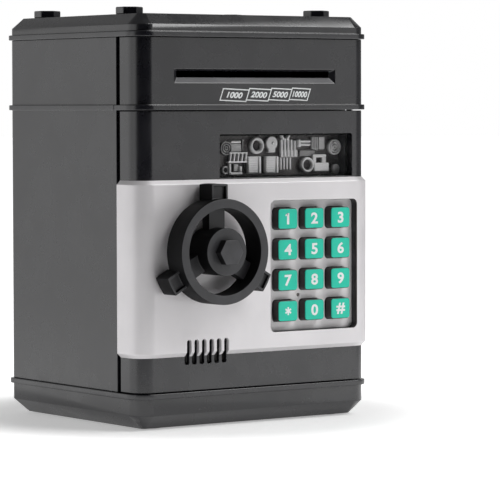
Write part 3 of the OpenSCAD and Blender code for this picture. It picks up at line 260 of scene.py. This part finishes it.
# %% [markdown]
# ## The floor
#
# The floor is a wide disc of white paper just under the rubber feet, so wide that no edge shows. It glows a
# little away from the toy, which burns it out to white, and near the toy it keeps a soft shadow. A shiny side
# mirrors the floor far away, so the paper is black there in the dark zones, but only for reflections: the light
# path tells a ray that comes from the camera from one that comes off the toy, and the camera sees white paper.

# %% Lay the floor
FLOOR_R = 12.0
GLOW_FROM, GLOW_FULL, GLOW_LOW, GLOW_HIGH = 0.085, 0.15, 0.36, 0.92
ZONE_FROM, ZONE_FULL = 0.3, 0.5
floor_mesh = bmesh.new()
bmesh.ops.create_circle(floor_mesh, cap_ends=True, radius=FLOOR_R, segments=96)
bmesh.ops.translate(floor_mesh, verts=floor_mesh.verts, vec=(0, 0, cad_box[0].z - 0.1 * MM))
floor_data = bpy.data.meshes.new("floor")
floor_mesh.to_mesh(floor_data)
floor_mesh.free()
floor = bpy.data.objects.new("floor", floor_data)
bpy.context.scene.collection.objects.link(floor)
print("floor at z =", round(floor_data.vertices[0].co.z / MM, 2), "mm")

# %% Give the floor its paper
paper = finish("floor_paper", (0.86, 0.86, 0.86), 0.8, cloud=0.004, depth=0.0, worn=1.0,
               Emission_Color=(1, 1, 1, 1))
tree = paper.node_tree
skin = tree.nodes["Principled BSDF"]
spot = node_in(tree, "ShaderNodeTexCoord").outputs["Object"]
distance = node_in(tree, "ShaderNodeVectorMath", operation="LENGTH")
way = node_in(tree, "ShaderNodeVectorMath", operation="NORMALIZE")
for measure in (distance, way):
    tree.links.new(spot, measure.inputs[0])
away = distance.outputs["Value"]
tree.links.new(step_in(tree, away, GLOW_FROM, GLOW_FULL, GLOW_LOW, GLOW_HIGH, smooth=True),
               skin.inputs["Emission Strength"])
zones = [step_in(tree, toward_in(tree, way.outputs[0], axis), start, full, 0.0, 1.0 - left_over, smooth=True)
         for axis, start, full, left_over in DARK_ZONES]
dark = join_in(tree, "MAXIMUM", join_in(tree, "MAXIMUM", zones[0], zones[1]), zones[2])
mirrored = step_in(tree, node_in(tree, "ShaderNodeLightPath").outputs["Is Camera Ray"], 0, 1, 1.0, 0.0)
for share in (step_in(tree, away, ZONE_FROM, ZONE_FULL, smooth=True), mirrored):
    dark = join_in(tree, "MULTIPLY", dark, share)
black = node_in(tree, "ShaderNodeBsdfDiffuse", in_color=(0.01, 0.01, 0.01, 1))
either = node_in(tree, "ShaderNodeMixShader")
for socket, source in enumerate((dark, skin.outputs[0], black.outputs[0])):
    tree.links.new(source, either.inputs[socket])
tree.links.new(either.outputs[0], tree.nodes["Material Output"].inputs["Surface"])
floor.data.materials.append(paper)
print("paper nodes:", len(tree.nodes))

# %% [markdown]
# ### The finishes of this toy
#
# The case is black styrene with a satin skin. The fascia is the same styrene sprayed silver, which keeps a
# very fine sparkle. The vault wheel is polypropylene, a little greyer. The keys have printed teal faces on
# dark bodies. Inside are nylon gears, zinc plated steel, wrapped cells, green board and black frame plastic.

# %% Mix the finishes
FINISHES = {
    "black_plastic": finish("black_plastic", (0.006, 0.006, 0.0085), 0.28, cloud=0.07, worn=3.0, grain=2600,
                            depth=0.012, Specular_IOR_Level=0.80),
    "silver_paint": finish("silver_paint", (0.73, 0.71, 0.725), 0.40, metal=0.25, cloud=0.03, grain=9000,
                           depth=0.01, worn=1.12, Coat_Weight=0.15),
    "wheel_plastic": finish("wheel_plastic", (0.034, 0.034, 0.037), 0.42, cloud=0.08, worn=2.2, grain=3000,
                            depth=0.02),
    "key_teal": finish("key_teal", (0.005, 0.57, 0.40), 0.42, cloud=0.05, grain=5000, depth=0.006, worn=1.15),
    "key_dark": finish("key_dark", (0.022, 0.018, 0.018), 0.40, worn=2.0, grain=4000),
    "clear_pane": finish("clear_pane", (0.06, 0.063, 0.065), 0.06, cloud=0.02, grain=600, depth=0.004, worn=1.2,
                         Alpha=0.05),
    "relief_grey": finish("relief_grey", (0.34, 0.33, 0.335), 0.38, metal=0.35, cloud=0.15, worn=1.8),
    "rubber": finish("rubber", (0.006, 0.006, 0.006), 0.85, cloud=0.25, grain=1800, depth=0.05, worn=1.5,
                     Specular_IOR_Level=0.12),
    "steel": finish("steel", (0.55, 0.55, 0.57), 0.30, metal=1.0, cloud=0.08, grain=2400, depth=0.006,
                    worn=1.3),
    "gear_nylon": finish("gear_nylon", (0.78, 0.77, 0.70), 0.45, cloud=0.04, worn=1.1, Subsurface_Weight=0.15,
                         Subsurface_Scale=0.002),
    "frame_plastic": finish("frame_plastic", (0.03, 0.031, 0.033), 0.5, cloud=0.07, worn=2.2, grain=1500,
                            depth=0.03),
    "board_green": finish("board_green", (0.02, 0.17, 0.07), 0.35, cloud=0.18, cloud_scale=300, worn=1.4),
    "membrane_grey": finish("membrane_grey", (0.32, 0.33, 0.34), 0.6, cloud=0.06, grain=1500, worn=1.2),
    "copper_wire": finish("copper_wire", (0.45, 0.02, 0.02), 0.42, cloud=0.1, worn=1.3),
    "cell_wrap": finish("cell_wrap", (0.10, 0.10, 0.11), 0.28, metal=0.5, cloud=0.2, worn=1.6),
    "lamp_red": finish("lamp_red", (0.03, 0.008, 0.008), 0.12, cloud=0.05, Coat_Weight=0.3),
}
for node, part in frame["nodes"].items():
    part.material_slots[0].material = FINISHES[slot_of[node]]
print("finishes:", len(FINISHES))

# %% [markdown]
# ## Shells with soft edges
#
# Nothing that comes out of a mould has a knife edge. A CAD shell does, so it would catch no light along its
# corners. Each outer shell is copied, its loose triangles are joined, flat faces are cleaned up, and a small
# bevel rounds every sharp edge. The copy takes over from the CAD node, which stays for the physics.
#
# The base and the lid have slopes at 45 degrees, and where two of those meet the faces are too small for a
# bevel, so on these two only the edges that turn by more than 60 degrees are rounded. Two shells have a second
# finish, chosen by the way a face looks: the wheel's sides get a darker, less shiny colour than its front as
# painted shade, and the up-facing lip of the slot gets a grey colour as a painted sheen.

# %% Helpers that round a shell's edges
def whole(node):
    """A joined copy of a CAD node with its flat faces cleaned up."""
    shape = bmesh.new()
    shape.from_mesh(frame["nodes"][node].data)
    bmesh.ops.remove_doubles(shape, verts=shape.verts, dist=0.002 * MM)
    bmesh.ops.dissolve_limit(shape, angle_limit=math.radians(0.5), verts=shape.verts, edges=shape.edges)
    return shape


def round_edges(shape, width, turn=30, segments=2):
    """Bevels every edge where the faces turn by more than so many degrees, and pulls strays back."""
    before = BVHTree.FromBMesh(shape)
    sharp = [e for e in shape.edges if e.is_manifold and e.calc_face_angle(0) > math.radians(turn)]
    bmesh.ops.bevel(shape, geom=sharp, offset=width, offset_type="OFFSET", affect="EDGES", segments=segments,
                    profile=0.5, clamp_overlap=False, loop_slide=False, material=-1)
    strays = 0
    for vert in shape.verts:
        nearest, _, _, gap = before.find_nearest(vert.co)
        if gap > 0.5 * width:
            vert.co = nearest
            strays += 1
    bmesh.ops.remove_doubles(shape, verts=shape.verts, dist=0.002 * MM)
    return strays


def piece(shape, name, body, slot, *stands_for, smooth=40, materials=None):
    """Turns a bmesh into a finished piece that rides on a body; large faces steer the shading."""
    data = bpy.data.meshes.new(name)
    shape.to_mesh(data)
    shape.free()
    data.polygons.foreach_set("use_smooth", [True] * len(data.polygons))
    data.set_sharp_from_angle(angle=math.radians(smooth))
    made = bpy.data.objects.new(name, data)
    even = made.modifiers.new("even_shading", "WEIGHTED_NORMAL")
    even.keep_sharp, even.weight = True, 50
    bpy.context.scene.collection.objects.link(made)
    for material in materials or [FINISHES[slot]]:
        data.materials.append(material)
    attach(made, body)
    if stands_for:
        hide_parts(*stands_for)
    return made


def body_of_node(node):
    """The body that a CAD node belongs to."""
    return next(name for name, held in frame["record"]["behaviour"]["bodies"].items() if node in held)


# %% Round the shells
# Painted shade: the sides of the wheel get a darker, less shiny copy of its plastic than the front.
wheel_side_painted_shade = finish("wheel_side_painted_shade", (0.006, 0.006, 0.0065), 0.5, cloud=0.1, grain=3000, depth=0.02, worn=3.0,
                    Specular_IOR_Level=0.07)
# Painted sheen: the up-facing lip of the black slot gets a flat grey colour that stands in for its reflection.
lip_painted_sheen = finish("lip_painted_sheen", (0.15, 0.15, 0.157), 0.6, cloud=0.05, worn=1.2, Specular_IOR_Level=0.3)
SLOPED = ("base_tray", "top_cover")
FRONT_OF_WHEEL = -0.8            # a face that looks along Y by less than this belongs to the wheel's front
LIP_LOW, LIP_HIGH = 154 * MM, 166 * MM
SHELLS = {"base_tray": 0.35, "body_shell": 0.3, "front_top_panel": 0.3, "top_cover": 0.35, "corner_studs": 0.5,
          "door_shell": 0.25, "battery_cover": 0.25, "vault_wheel": 0.3, "hex_cap": 0.35}
for node, width in SHELLS.items():
    shape = whole(node)
    strays = round_edges(shape, width * MM, turn=60 if node in SLOPED else 30)
    looks = [FINISHES[slot_of[node]]]
    # Painted shade: faces that do not look to the front take the darker side finish.
    if slot_of[node] == "wheel_plastic":
        looks.append(wheel_side_painted_shade)
        for face in shape.faces:
            face.material_index = int(face.normal.y > FRONT_OF_WHEEL)
    # Painted sheen: faces of the slot's lip that look up and to the front take the grey finish.
    if node == "front_top_panel":
        looks.append(lip_painted_sheen)
        for face in shape.faces:
            looks_up_front = face.normal.y < -0.3 and face.normal.z > 0.4
            if looks_up_front and LIP_LOW < face.calc_center_median().z < LIP_HIGH:
                face.material_index = 1
    second = sum(face.material_index for face in shape.faces)
    made = piece(shape, node + "_finished", body_of_node(node), slot_of[node], node, materials=looks)
    print(node, len(made.data.polygons), "faces,", second, "in a second finish,", strays, "strays pulled back")

# %% [markdown]
# ## The silver fascia
#
# The fascia is sprayed silver on its face only. The wall of the keypad's recess and the back stay the dark
# colour of the raw plastic, so the right edge of the recess looks black. The same shell is split by where its
# faces are and which way they look. The plate under the keys gets a brighter silver as painted light, which
# lifts the shade that falls in the deep well.

# %% Finish the fascia and the keypad plate
well_lo, well_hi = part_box("keypad_plate")
shape = whole("silver_fascia")
round_edges(shape, 0.25 * MM)
raw = 0
for face in shape.faces:
    centre = face.calc_center_median()
    inside_well = well_lo.x < centre.x < well_hi.x and well_lo.z < centre.z < well_hi.z
    looks_back = face.normal.y > 0.5
    if looks_back or (inside_well and abs(face.normal.y) < 0.6):
        face.material_index = 1
        raw += 1
piece(shape, "fascia_finished", "door", "silver_paint", "silver_fascia",
      materials=[FINISHES["silver_paint"], FINISHES["key_dark"]])
print("raw faces of the fascia:", raw)
shape = whole("keypad_plate")
round_edges(shape, 0.15 * MM)
# Painted light: the plate's silver is made brighter to lift the shade that falls in the deep well.
plate_painted_light = finish("plate_painted_light", (0.92, 0.90, 0.91), 0.5, cloud=0.03, grain=9000, depth=0.01, worn=1.0)
piece(shape, "keypad_plate_finished", "door", "silver_paint", "keypad_plate", materials=[plate_painted_light])

# %% [markdown]
# ## The keys
#
# A key is a dark body with a teal face pressed onto it and a white sign printed on that. The body is a rounded
# block with a flange that stops it falling out of the plate. It is made from one cube: bevel the four edges
# that run into the machine, then the front rim.

# %% A rounded block
def rounded_block(low, high, corner, rim, segments=4):
    """A block whose four edges along Y are rounded, then its front rim."""
    shape = bmesh.new()
    bmesh.ops.create_cube(shape, size=1.0)
    size = high - low
    bmesh.ops.scale(shape, vec=size, verts=shape.verts)
    bmesh.ops.translate(shape, vec=(low + high) / 2, verts=shape.verts)
    along = [e for e in shape.edges if abs((e.verts[0].co - e.verts[1].co).y) > size.y / 2]
    bmesh.ops.bevel(shape, geom=along, offset=corner, offset_type="OFFSET", affect="EDGES", segments=segments,
                    profile=0.5, clamp_overlap=True, material=-1)
    front = [e for e in shape.edges if all(v.co.y < low.y + 1e-6 for v in e.verts)]
    bmesh.ops.bevel(shape, geom=front, offset=rim, offset_type="OFFSET", affect="EDGES", segments=3,
                    profile=0.5, clamp_overlap=True, material=-1)
    return shape


def join(*shapes):
    """Several shapes as one."""
    whole_shape = bmesh.new()
    for shape in shapes:
        data = bpy.data.meshes.new("part")
        shape.to_mesh(data)
        shape.free()
        whole_shape.from_mesh(data)
        bpy.data.meshes.remove(data)
    return whole_shape


# %% [markdown]
# Signs are printed ink: flat, but with a thickness that can be felt. A text object is turned into a mesh,
# thickened, stood upright and moved to its place.

# %% A printed sign
INK_T = 0.05 * MM


def printed(text, centre, tall, lean=0.0, bold=0.0, wide=1.0):
    """Text as a thin mesh that faces -Y, its middle at a point on the surface."""
    curve = bpy.data.curves.new("sign", "FONT")
    curve.body, curve.align_x, curve.align_y = text, "CENTER", "CENTER"
    curve.size, curve.shear, curve.offset = 1.0, lean, bold
    curve.resolution_u = 6
    holder = bpy.data.objects.new("sign", curve)
    bpy.context.scene.collection.objects.link(holder)
    flat = bpy.data.meshes.new_from_object(holder.evaluated_get(bpy.context.evaluated_depsgraph_get()))
    bpy.data.objects.remove(holder)
    shape = bmesh.new()
    shape.from_mesh(flat)
    bpy.data.meshes.remove(flat)
    low = Vector(map(min, *(v.co for v in shape.verts)))
    high = Vector(map(max, *(v.co for v in shape.verts)))
    factor = tall / (high.y - low.y)
    bmesh.ops.translate(shape, vec=-(low + high) / 2, verts=shape.verts)
    bmesh.ops.scale(shape, vec=(factor * wide, factor, 1), verts=shape.verts)
    bmesh.ops.remove_doubles(shape, verts=shape.verts, dist=0.001 * MM)
    stood = Matrix.Translation(centre) @ Matrix.Rotation(math.radians(90), 4, "X")
    front = bmesh.ops.extrude_face_region(shape, geom=shape.faces[:])["geom"]
    lifted = [v for v in front if isinstance(v, bmesh.types.BMVert)]
    bmesh.ops.translate(shape, vec=(0, 0, INK_T), verts=lifted)
    bmesh.ops.transform(shape, matrix=stood, verts=shape.verts)
    bmesh.ops.recalc_face_normals(shape, faces=shape.faces)
    return shape


def flag_of_one(centre, tall):
    """The short slanting stroke at the top left of a 1."""
    shape = bmesh.new()
    bmesh.ops.create_cube(shape, size=1.0)
    bmesh.ops.scale(shape, vec=(0.30 * tall, INK_T, 0.13 * tall), verts=shape.verts)
    bmesh.ops.rotate(shape, verts=shape.verts, matrix=Matrix.Rotation(math.radians(-32), 3, "Y"))
    bmesh.ops.translate(shape, vec=centre + Vector((-0.15 * tall, -INK_T / 2, 0.36 * tall)), verts=shape.verts)
    return shape


def star_sign(centre, tall):
    """A star of three bars that cross, each a little nearer than the last."""
    bars = []
    for turn in range(3):
        shape = bmesh.new()
        bmesh.ops.create_cube(shape, size=1.0)
        bmesh.ops.scale(shape, vec=(0.22 * tall, INK_T, tall), verts=shape.verts)
        bmesh.ops.rotate(shape, verts=shape.verts, matrix=Matrix.Rotation(math.radians(60 * turn), 3, "Y"))
        nearer = -0.004 * MM * turn - INK_T / 2
        bmesh.ops.translate(shape, vec=centre + Vector((0, nearer, 0)), verts=shape.verts)
        bars.append(shape)
    return join(*bars)


white_ink = finish("white_ink", (0.82, 0.84, 0.84), 0.45, cloud=0.05, grain=6000, depth=0.01, worn=1.0)

# %% Make the twelve keys
FLANGE_OUT, FLANGE_T = 1.0 * MM, 1.2 * MM       # how far the flange stands out, and how thick it is
SKIN_T, SKIN_INSET, SKIN_PROUD = 0.9 * MM, 0.25 * MM, 0.35 * MM
SIGN_TALL, STAR_TALL, INK_SUNK = 5.2 * MM, 3.7 * MM, 0.01 * MM
SIGNS = {"key_star": "*", "key_0": "0", "key_hash": "#", **{f"key_{n}": str(n) for n in range(1, 10)}}
for node, sign in SIGNS.items():
    low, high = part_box(node)
    inner = Vector((FLANGE_OUT, 0, FLANGE_OUT))
    flange = rounded_block(Vector((low.x, high.y - FLANGE_T, low.z)), high, 2.5 * MM, 0.1 * MM)
    stem = rounded_block(low + inner + Vector((0, SKIN_PROUD, 0)), high - inner - Vector((0, FLANGE_T, 0)),
                         1.5 * MM, 0.3 * MM)
    button = body_of_node(node)
    piece(join(flange, stem), node + "_body", button, "key_dark", node)
    skin_in = inner + Vector((SKIN_INSET, 0, SKIN_INSET))
    face_lo, face_hi = low + skin_in, Vector((high.x, low.y + SKIN_T, high.z)) - skin_in
    piece(rounded_block(face_lo, face_hi, 1.3 * MM, 0.3 * MM), node + "_face", button, "key_teal")
    middle = Vector(((low.x + high.x) / 2, low.y + INK_SUNK, (low.z + high.z) / 2))
    if sign == "*":
        ink = star_sign(middle, STAR_TALL)
    else:
        ink = printed(sign, middle, SIGN_TALL, bold=0.03, wide=1.15)
    if sign == "1":
        ink = join(ink, flag_of_one(middle, SIGN_TALL))
    piece(ink, node + "_sign", button, "key_teal", materials=[white_ink])
print("keys:", len(SIGNS))

# %% [markdown]
# ## The relief behind the window
#
# Behind the clear window lies a grey relief of machine parts, only for show: rings, combs, a bolt, ribs and
# coils. Each is a small operator shape standing on the plate: discs and rings come from a circle that is
# extruded and inset, blocks from a cube, and the rest is put together from those. Places are given in
# millimetres from the window's lower left corner, for the tops as they are seen from the front left. A raised
# top looks shifted to the right from there, so each foot stands further left by a share of its height.

# %% Shapes for the relief
win_lo, win_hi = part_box("window_pane")
plate_lo, plate_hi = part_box("relief_insert")
PLATE_T = 1.5 * MM
ground_y = plate_hi.y - PLATE_T
SLANT = 0.72                     # how far a foot stands to the left, as a share of the shape's height
AIM_X, AIM_Z = 0.7, -0.3         # millimetres from the window's corner to where the places are counted from
relief = []


def stand(shape, x, z, turn=0.0):
    """Stands a shape made flat in XY on the plate, facing -Y; x, z is where its top is seen from the left."""
    high = max(v.co.z for v in shape.verts)
    foot = Vector((win_lo.x + (x + AIM_X) * MM - SLANT * high, ground_y, win_lo.z + (z + AIM_Z) * MM))
    place = Matrix.Translation(foot) @ Matrix.Rotation(math.radians(90), 4, "X")
    place = place @ Matrix.Rotation(math.radians(turn), 4, "Z")
    bmesh.ops.transform(shape, matrix=place, verts=shape.verts)
    relief.append(shape)


def bar(x0, x1, z0, z1, high, edge=0.25, turn=0.0):
    """A block with rounded edges."""
    shape = bmesh.new()
    bmesh.ops.create_cube(shape, size=1.0)
    bmesh.ops.scale(shape, vec=Vector((x1 - x0, z1 - z0, high)) * MM, verts=shape.verts)
    bmesh.ops.translate(shape, vec=(0, 0, high / 2 * MM), verts=shape.verts)
    top = [e for e in shape.edges if any(v.co.z > 0.01 * MM for v in e.verts)]
    bmesh.ops.bevel(shape, geom=top, offset=edge * MM, offset_type="OFFSET", affect="EDGES", segments=2,
                    profile=0.5, clamp_overlap=True, material=-1)
    stand(shape, (x0 + x1) / 2, (z0 + z1) / 2, turn=turn)


def turned(x, z, profile, steps=28):
    """A shape spun round an axis that points out of the plate; profile is (radius, height) in millimetres."""
    shape = bmesh.new()
    points = [shape.verts.new((r * MM, 0, h * MM)) for r, h in profile]
    edges = [shape.edges.new(pair) for pair in zip(points, points[1:])]
    bmesh.ops.spin(shape, geom=points + edges, cent=(0, 0, 0), axis=(0, 0, 1), dvec=(0, 0, 0),
                   angle=math.tau, steps=steps, use_merge=True, use_duplicate=False)
    bmesh.ops.remove_doubles(shape, verts=shape.verts, dist=0.001 * MM)
    bmesh.ops.recalc_face_normals(shape, faces=shape.faces)
    stand(shape, x, z)


def ring(x, z, out, wide, high):
    """A round-topped ring."""
    mid, half = out - wide / 2, wide / 2
    arch = [(mid + half * math.cos(a), high - half + half * math.sin(a))
            for a in (i * math.pi / 6 for i in range(7))]
    turned(x, z, [(out, -0.2), *arch, (out - wide, -0.2)])


def disc(x, z, r, high):
    """A solid disc with a rounded rim."""
    turned(x, z, [(r, -0.2), (r, high - 0.3), (r - 0.1, high - 0.1), (r - 0.35, high), (0, high)])


# %% Put the relief together
for radius in (3.2, 2.1, 1.0):
    ring(10.7, 13.5, radius, 0.55, 1.6)
bar(13.3, 18.9, 11.8, 15.4, 1.6)
bar(13.3, 18.9, 15.8, 17.0, 3.2, edge=0.5)
bar(19.4, 20.2, 12.4, 17.6, 1.0)
ring(28.3, 14.6, 3.9, 1.4, 3.2)
disc(28.3, 14.6, 2.2, 0.6)
disc(36.5, 15.6, 3.2, 2.4)
bar(34.3, 38.6, 11.2, 14.6, 2.2, edge=0.6)
bar(36.6, 37.8, 15.5, 16.1, 3.0, edge=0.15, turn=35)
bar(36.6, 37.8, 14.9, 15.5, 3.0, edge=0.15, turn=-35)
for rib in range(5):
    bar(41.6 + rib * 1.9, 42.8 + rib * 1.9, 9.2, 18.2 - abs(rib - 1.5) * 0.6, 2.6, edge=0.4)
bar(41.2, 51.4, 8.9, 12.4, 2.0, edge=0.5)
for side in (-1, 1):
    bar(44.4 + side * 1.6 - 0.45, 44.4 + side * 1.6 + 0.45, 17.0, 19.6, 3.2, edge=0.2, turn=side * -35)
for rib in range(4):
    bar(41.2 + rib * 1.8, 42.1 + rib * 1.8, 3.2, 8.9, 2.6, edge=0.3)
bar(53.0, 58.9, 14.2, 15.3, 3.4, edge=0.4)
bar(53.0, 58.9, 15.7, 16.9, 3.6, edge=0.5)
bar(51.8, 53.2, 13.6, 17.2, 3.4, edge=0.3)
for step in range(4):
    bar(59.6 + step * 1.0, 60.1 + step * 1.0, 12.6 - step * 0.2, 18.3, 2.2, edge=0.2)
bar(63.6, 67.2, 12.4, 18.4, 1.8, edge=0.5)
for radius in (3.7, 2.5, 1.3):
    ring(73.2, 13.5, radius, 0.9, 2.8)
bar(52.4, 61.5, 9.2, 12.2, 1.2, edge=0.5)
bar(12.4, 22.6, 11.0, 11.6, 2.8, edge=0.2)
bar(11.7, 22.4, 6.8, 7.5, 2.8, edge=0.2)
for slat in range(5):
    bar(12.6 + slat * 2.2, 13.4 + slat * 2.2, 7.0, 11.4, 2.6, edge=0.2, turn=-8)
for left in (22.9, 32.9):
    bar(left, left + 7.4, 1.7, 9.6, 3.0, edge=0.4)
    for tooth in range(7):
        bar(left + 0.4, left + 5.4, 2.3 + tooth * 1.05, 2.8 + tooth * 1.05, 3.5, edge=0.1)
    bar(left + 6.2, left + 7.2, 1.9, 9.4, 3.8, edge=0.25)
ring(10.2, 3.4, 1.9, 0.7, 2.0)
bar(12.2, 19.6, 1.4, 2.4, 2.6, edge=0.2)
bar(12.2, 13.2, 1.4, 6.4, 2.6, edge=0.2)
bar(14.8, 17.4, 2.8, 6.2, 1.8, edge=0.4)
bar(18.2, 19.4, 2.6, 5.2, 3.2, edge=0.4)
ring(57.3, 5.3, 3.6, 1.1, 3.2)
disc(57.3, 5.3, 2.3, 0.6)
bar(61.0, 69.6, 2.2, 6.2, 3.2, edge=0.4)
bar(60.2, 68.2, 8.6, 10.2, 2.6, edge=0.6)
bar(60.2, 62.2, 6.0, 10.0, 2.4, edge=0.5)
bar(65.4, 68.0, 6.0, 10.0, 2.2, edge=0.4)
disc(74.0, 3.6, 1.9, 3.0)
bar(72.1, 75.9, 1.2, 3.6, 2.6, edge=0.5)

# %% [markdown]
# The relief's finish darkens towards the ground as painted shade in the hollows between the raised parts. The
# shade comes from how far a point stands above the plate.

# %% Finish the relief
def height_shaded(name, ground, top, y_ground, y_top):
    """Painted shade: grey that goes from a dark shade at the ground to a light one at the raised tops."""
    made = finish(name, top, 0.36, metal=0.1, cloud=0.1, grain=4000, depth=0.01, worn=1.3)
    tree = made.node_tree
    skin = tree.nodes["Principled BSDF"]
    upper = skin.inputs["Base Color"].links[0].from_socket
    split = node_in(tree, "ShaderNodeSeparateXYZ")
    tree.links.new(node_in(tree, "ShaderNodeTexCoord").outputs["Object"], split.inputs[0])
    share = step_in(tree, split.outputs["Y"], y_ground, y_top, smooth=True)
    tree.links.new(blend_in(tree, share, ground, upper), skin.inputs["Base Color"])
    return made


# Painted shade: dark at the ground of the relief, light at its raised tops.
relief_painted_shade = height_shaded("relief_painted_shade", (0.10, 0.093, 0.093), (0.93, 0.92, 0.93),
                             ground_y - 0.3 * MM, ground_y - 2.8 * MM)
base = bmesh.new()
bmesh.ops.create_cube(base, size=1.0)
span = Vector((plate_hi.x - plate_lo.x, PLATE_T, plate_hi.z - plate_lo.z))
bmesh.ops.scale(base, vec=span, verts=base.verts)
bmesh.ops.translate(base, vec=((plate_lo.x + plate_hi.x) / 2, plate_hi.y - PLATE_T / 2,
                               (plate_lo.z + plate_hi.z) / 2), verts=base.verts)
made = piece(join(base, *relief), "relief", "door", "relief_grey", "relief_insert", materials=[relief_painted_shade])

# %% [markdown]
# Thin black strips behind the pane, along its top, bottom and right edges, are painted shadow: they stand in
# for the shade where the relief meets the walls of the window.

# %% Lay the painted shadow strips behind the pane
SHADOW_STRIP_W, SHADOW_STRIP_T, SHADOW_STRIP_GAP = 0.7 * MM, 0.8 * MM, 0.02 * MM
shadow_strip_y = win_hi.y + SHADOW_STRIP_GAP + SHADOW_STRIP_T / 2
painted_shadow = []
for x0, x1, z0, z1 in ((win_lo.x, win_hi.x, win_hi.z - SHADOW_STRIP_W, win_hi.z),
                       (win_lo.x, win_hi.x, win_lo.z, win_lo.z + SHADOW_STRIP_W),
                       (win_hi.x - SHADOW_STRIP_W, win_hi.x, win_lo.z, win_hi.z)):
    strip = bmesh.new()
    bmesh.ops.create_cube(strip, size=1.0)
    bmesh.ops.scale(strip, vec=(x1 - x0, SHADOW_STRIP_T, z1 - z0), verts=strip.verts)
    bmesh.ops.translate(strip, vec=((x0 + x1) / 2, shadow_strip_y, (z0 + z1) / 2), verts=strip.verts)
    painted_shadow.append(strip)
# Painted shadow: the black strips stand in for the shade along the window's edges.
piece(join(*painted_shadow), "window_shade_strips", "door", "rubber")
print("gasket strips:", len(painted_shadow))

# %% [markdown]
# ## The row of note values
#
# Under the slot is a printed row of four leaning note outlines, each overlapping the one before, with its
# value in white italics. An outline is a leaning quad that is inset, with the middle taken out. Two sheets that
# lie in one plane would flicker, so each note lies a hair's breadth deeper than the one before.

# %% Print the note values
PRINT_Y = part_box("door_shell")[0].y
print_low, print_high = 147.1 * MM, 152.9 * MM
tall = print_high - print_low
LEAN, TILT = 0.32, math.radians(2.6)
LAYER, RIM, OVERLAP, RISE = 0.012 * MM, 0.5 * MM, 0.3, 0.1 * MM
VALUE_TALL, VALUE_SUNK = 2.8 * MM, 0.005 * MM
NOTES = (("1000", 15.0, 1.25), ("2000", 12.8, 1.2), ("5000", 12.1, 1.15), ("10000", 10.9, 0.95))
signs = []
left, lift = -20.6 * MM, 0.35 * MM
for value, wide, stretch in NOTES:
    note = bmesh.new()
    layer = PRINT_Y + LAYER * len(signs) / 2
    corners = [(left, print_low), (left + wide * MM, print_low),
               (left + wide * MM + LEAN * tall, print_high), (left + LEAN * tall, print_high)]
    quad = note.faces.new([note.verts.new((x, layer, z)) for x, z in corners])
    quad.normal_update()
    bmesh.ops.inset_individual(note, faces=[quad], thickness=RIM, use_even_offset=True)
    bmesh.ops.delete(note, geom=[max(note.faces, key=lambda face: face.calc_area())], context="FACES_ONLY")
    raised = bmesh.ops.extrude_face_region(note, geom=note.faces[:])["geom"]
    lifted = [v for v in raised if isinstance(v, bmesh.types.BMVert)]
    bmesh.ops.translate(note, vec=(0, -INK_T, 0), verts=lifted)
    bmesh.ops.recalc_face_normals(note, faces=note.faces)
    middle = Vector((left + (wide * MM + LEAN * tall) / 2, PRINT_Y + VALUE_SUNK, (print_low + print_high) / 2))
    number = printed(value, middle, VALUE_TALL, lean=LEAN, bold=0.033, wide=stretch)
    for shape in (note, number):
        bmesh.ops.rotate(shape, verts=shape.verts, cent=(left, PRINT_Y, print_low),
                         matrix=Matrix.Rotation(TILT, 3, "Y"))
        bmesh.ops.translate(shape, verts=shape.verts, vec=(0, 0, lift))
    signs += [note, number]
    left += (wide - OVERLAP) * MM
    lift += RISE
piece(join(*signs), "note_values", "case", "black_plastic", materials=[white_ink])
print("note values end at x =", round(left / MM, 1), "mm")
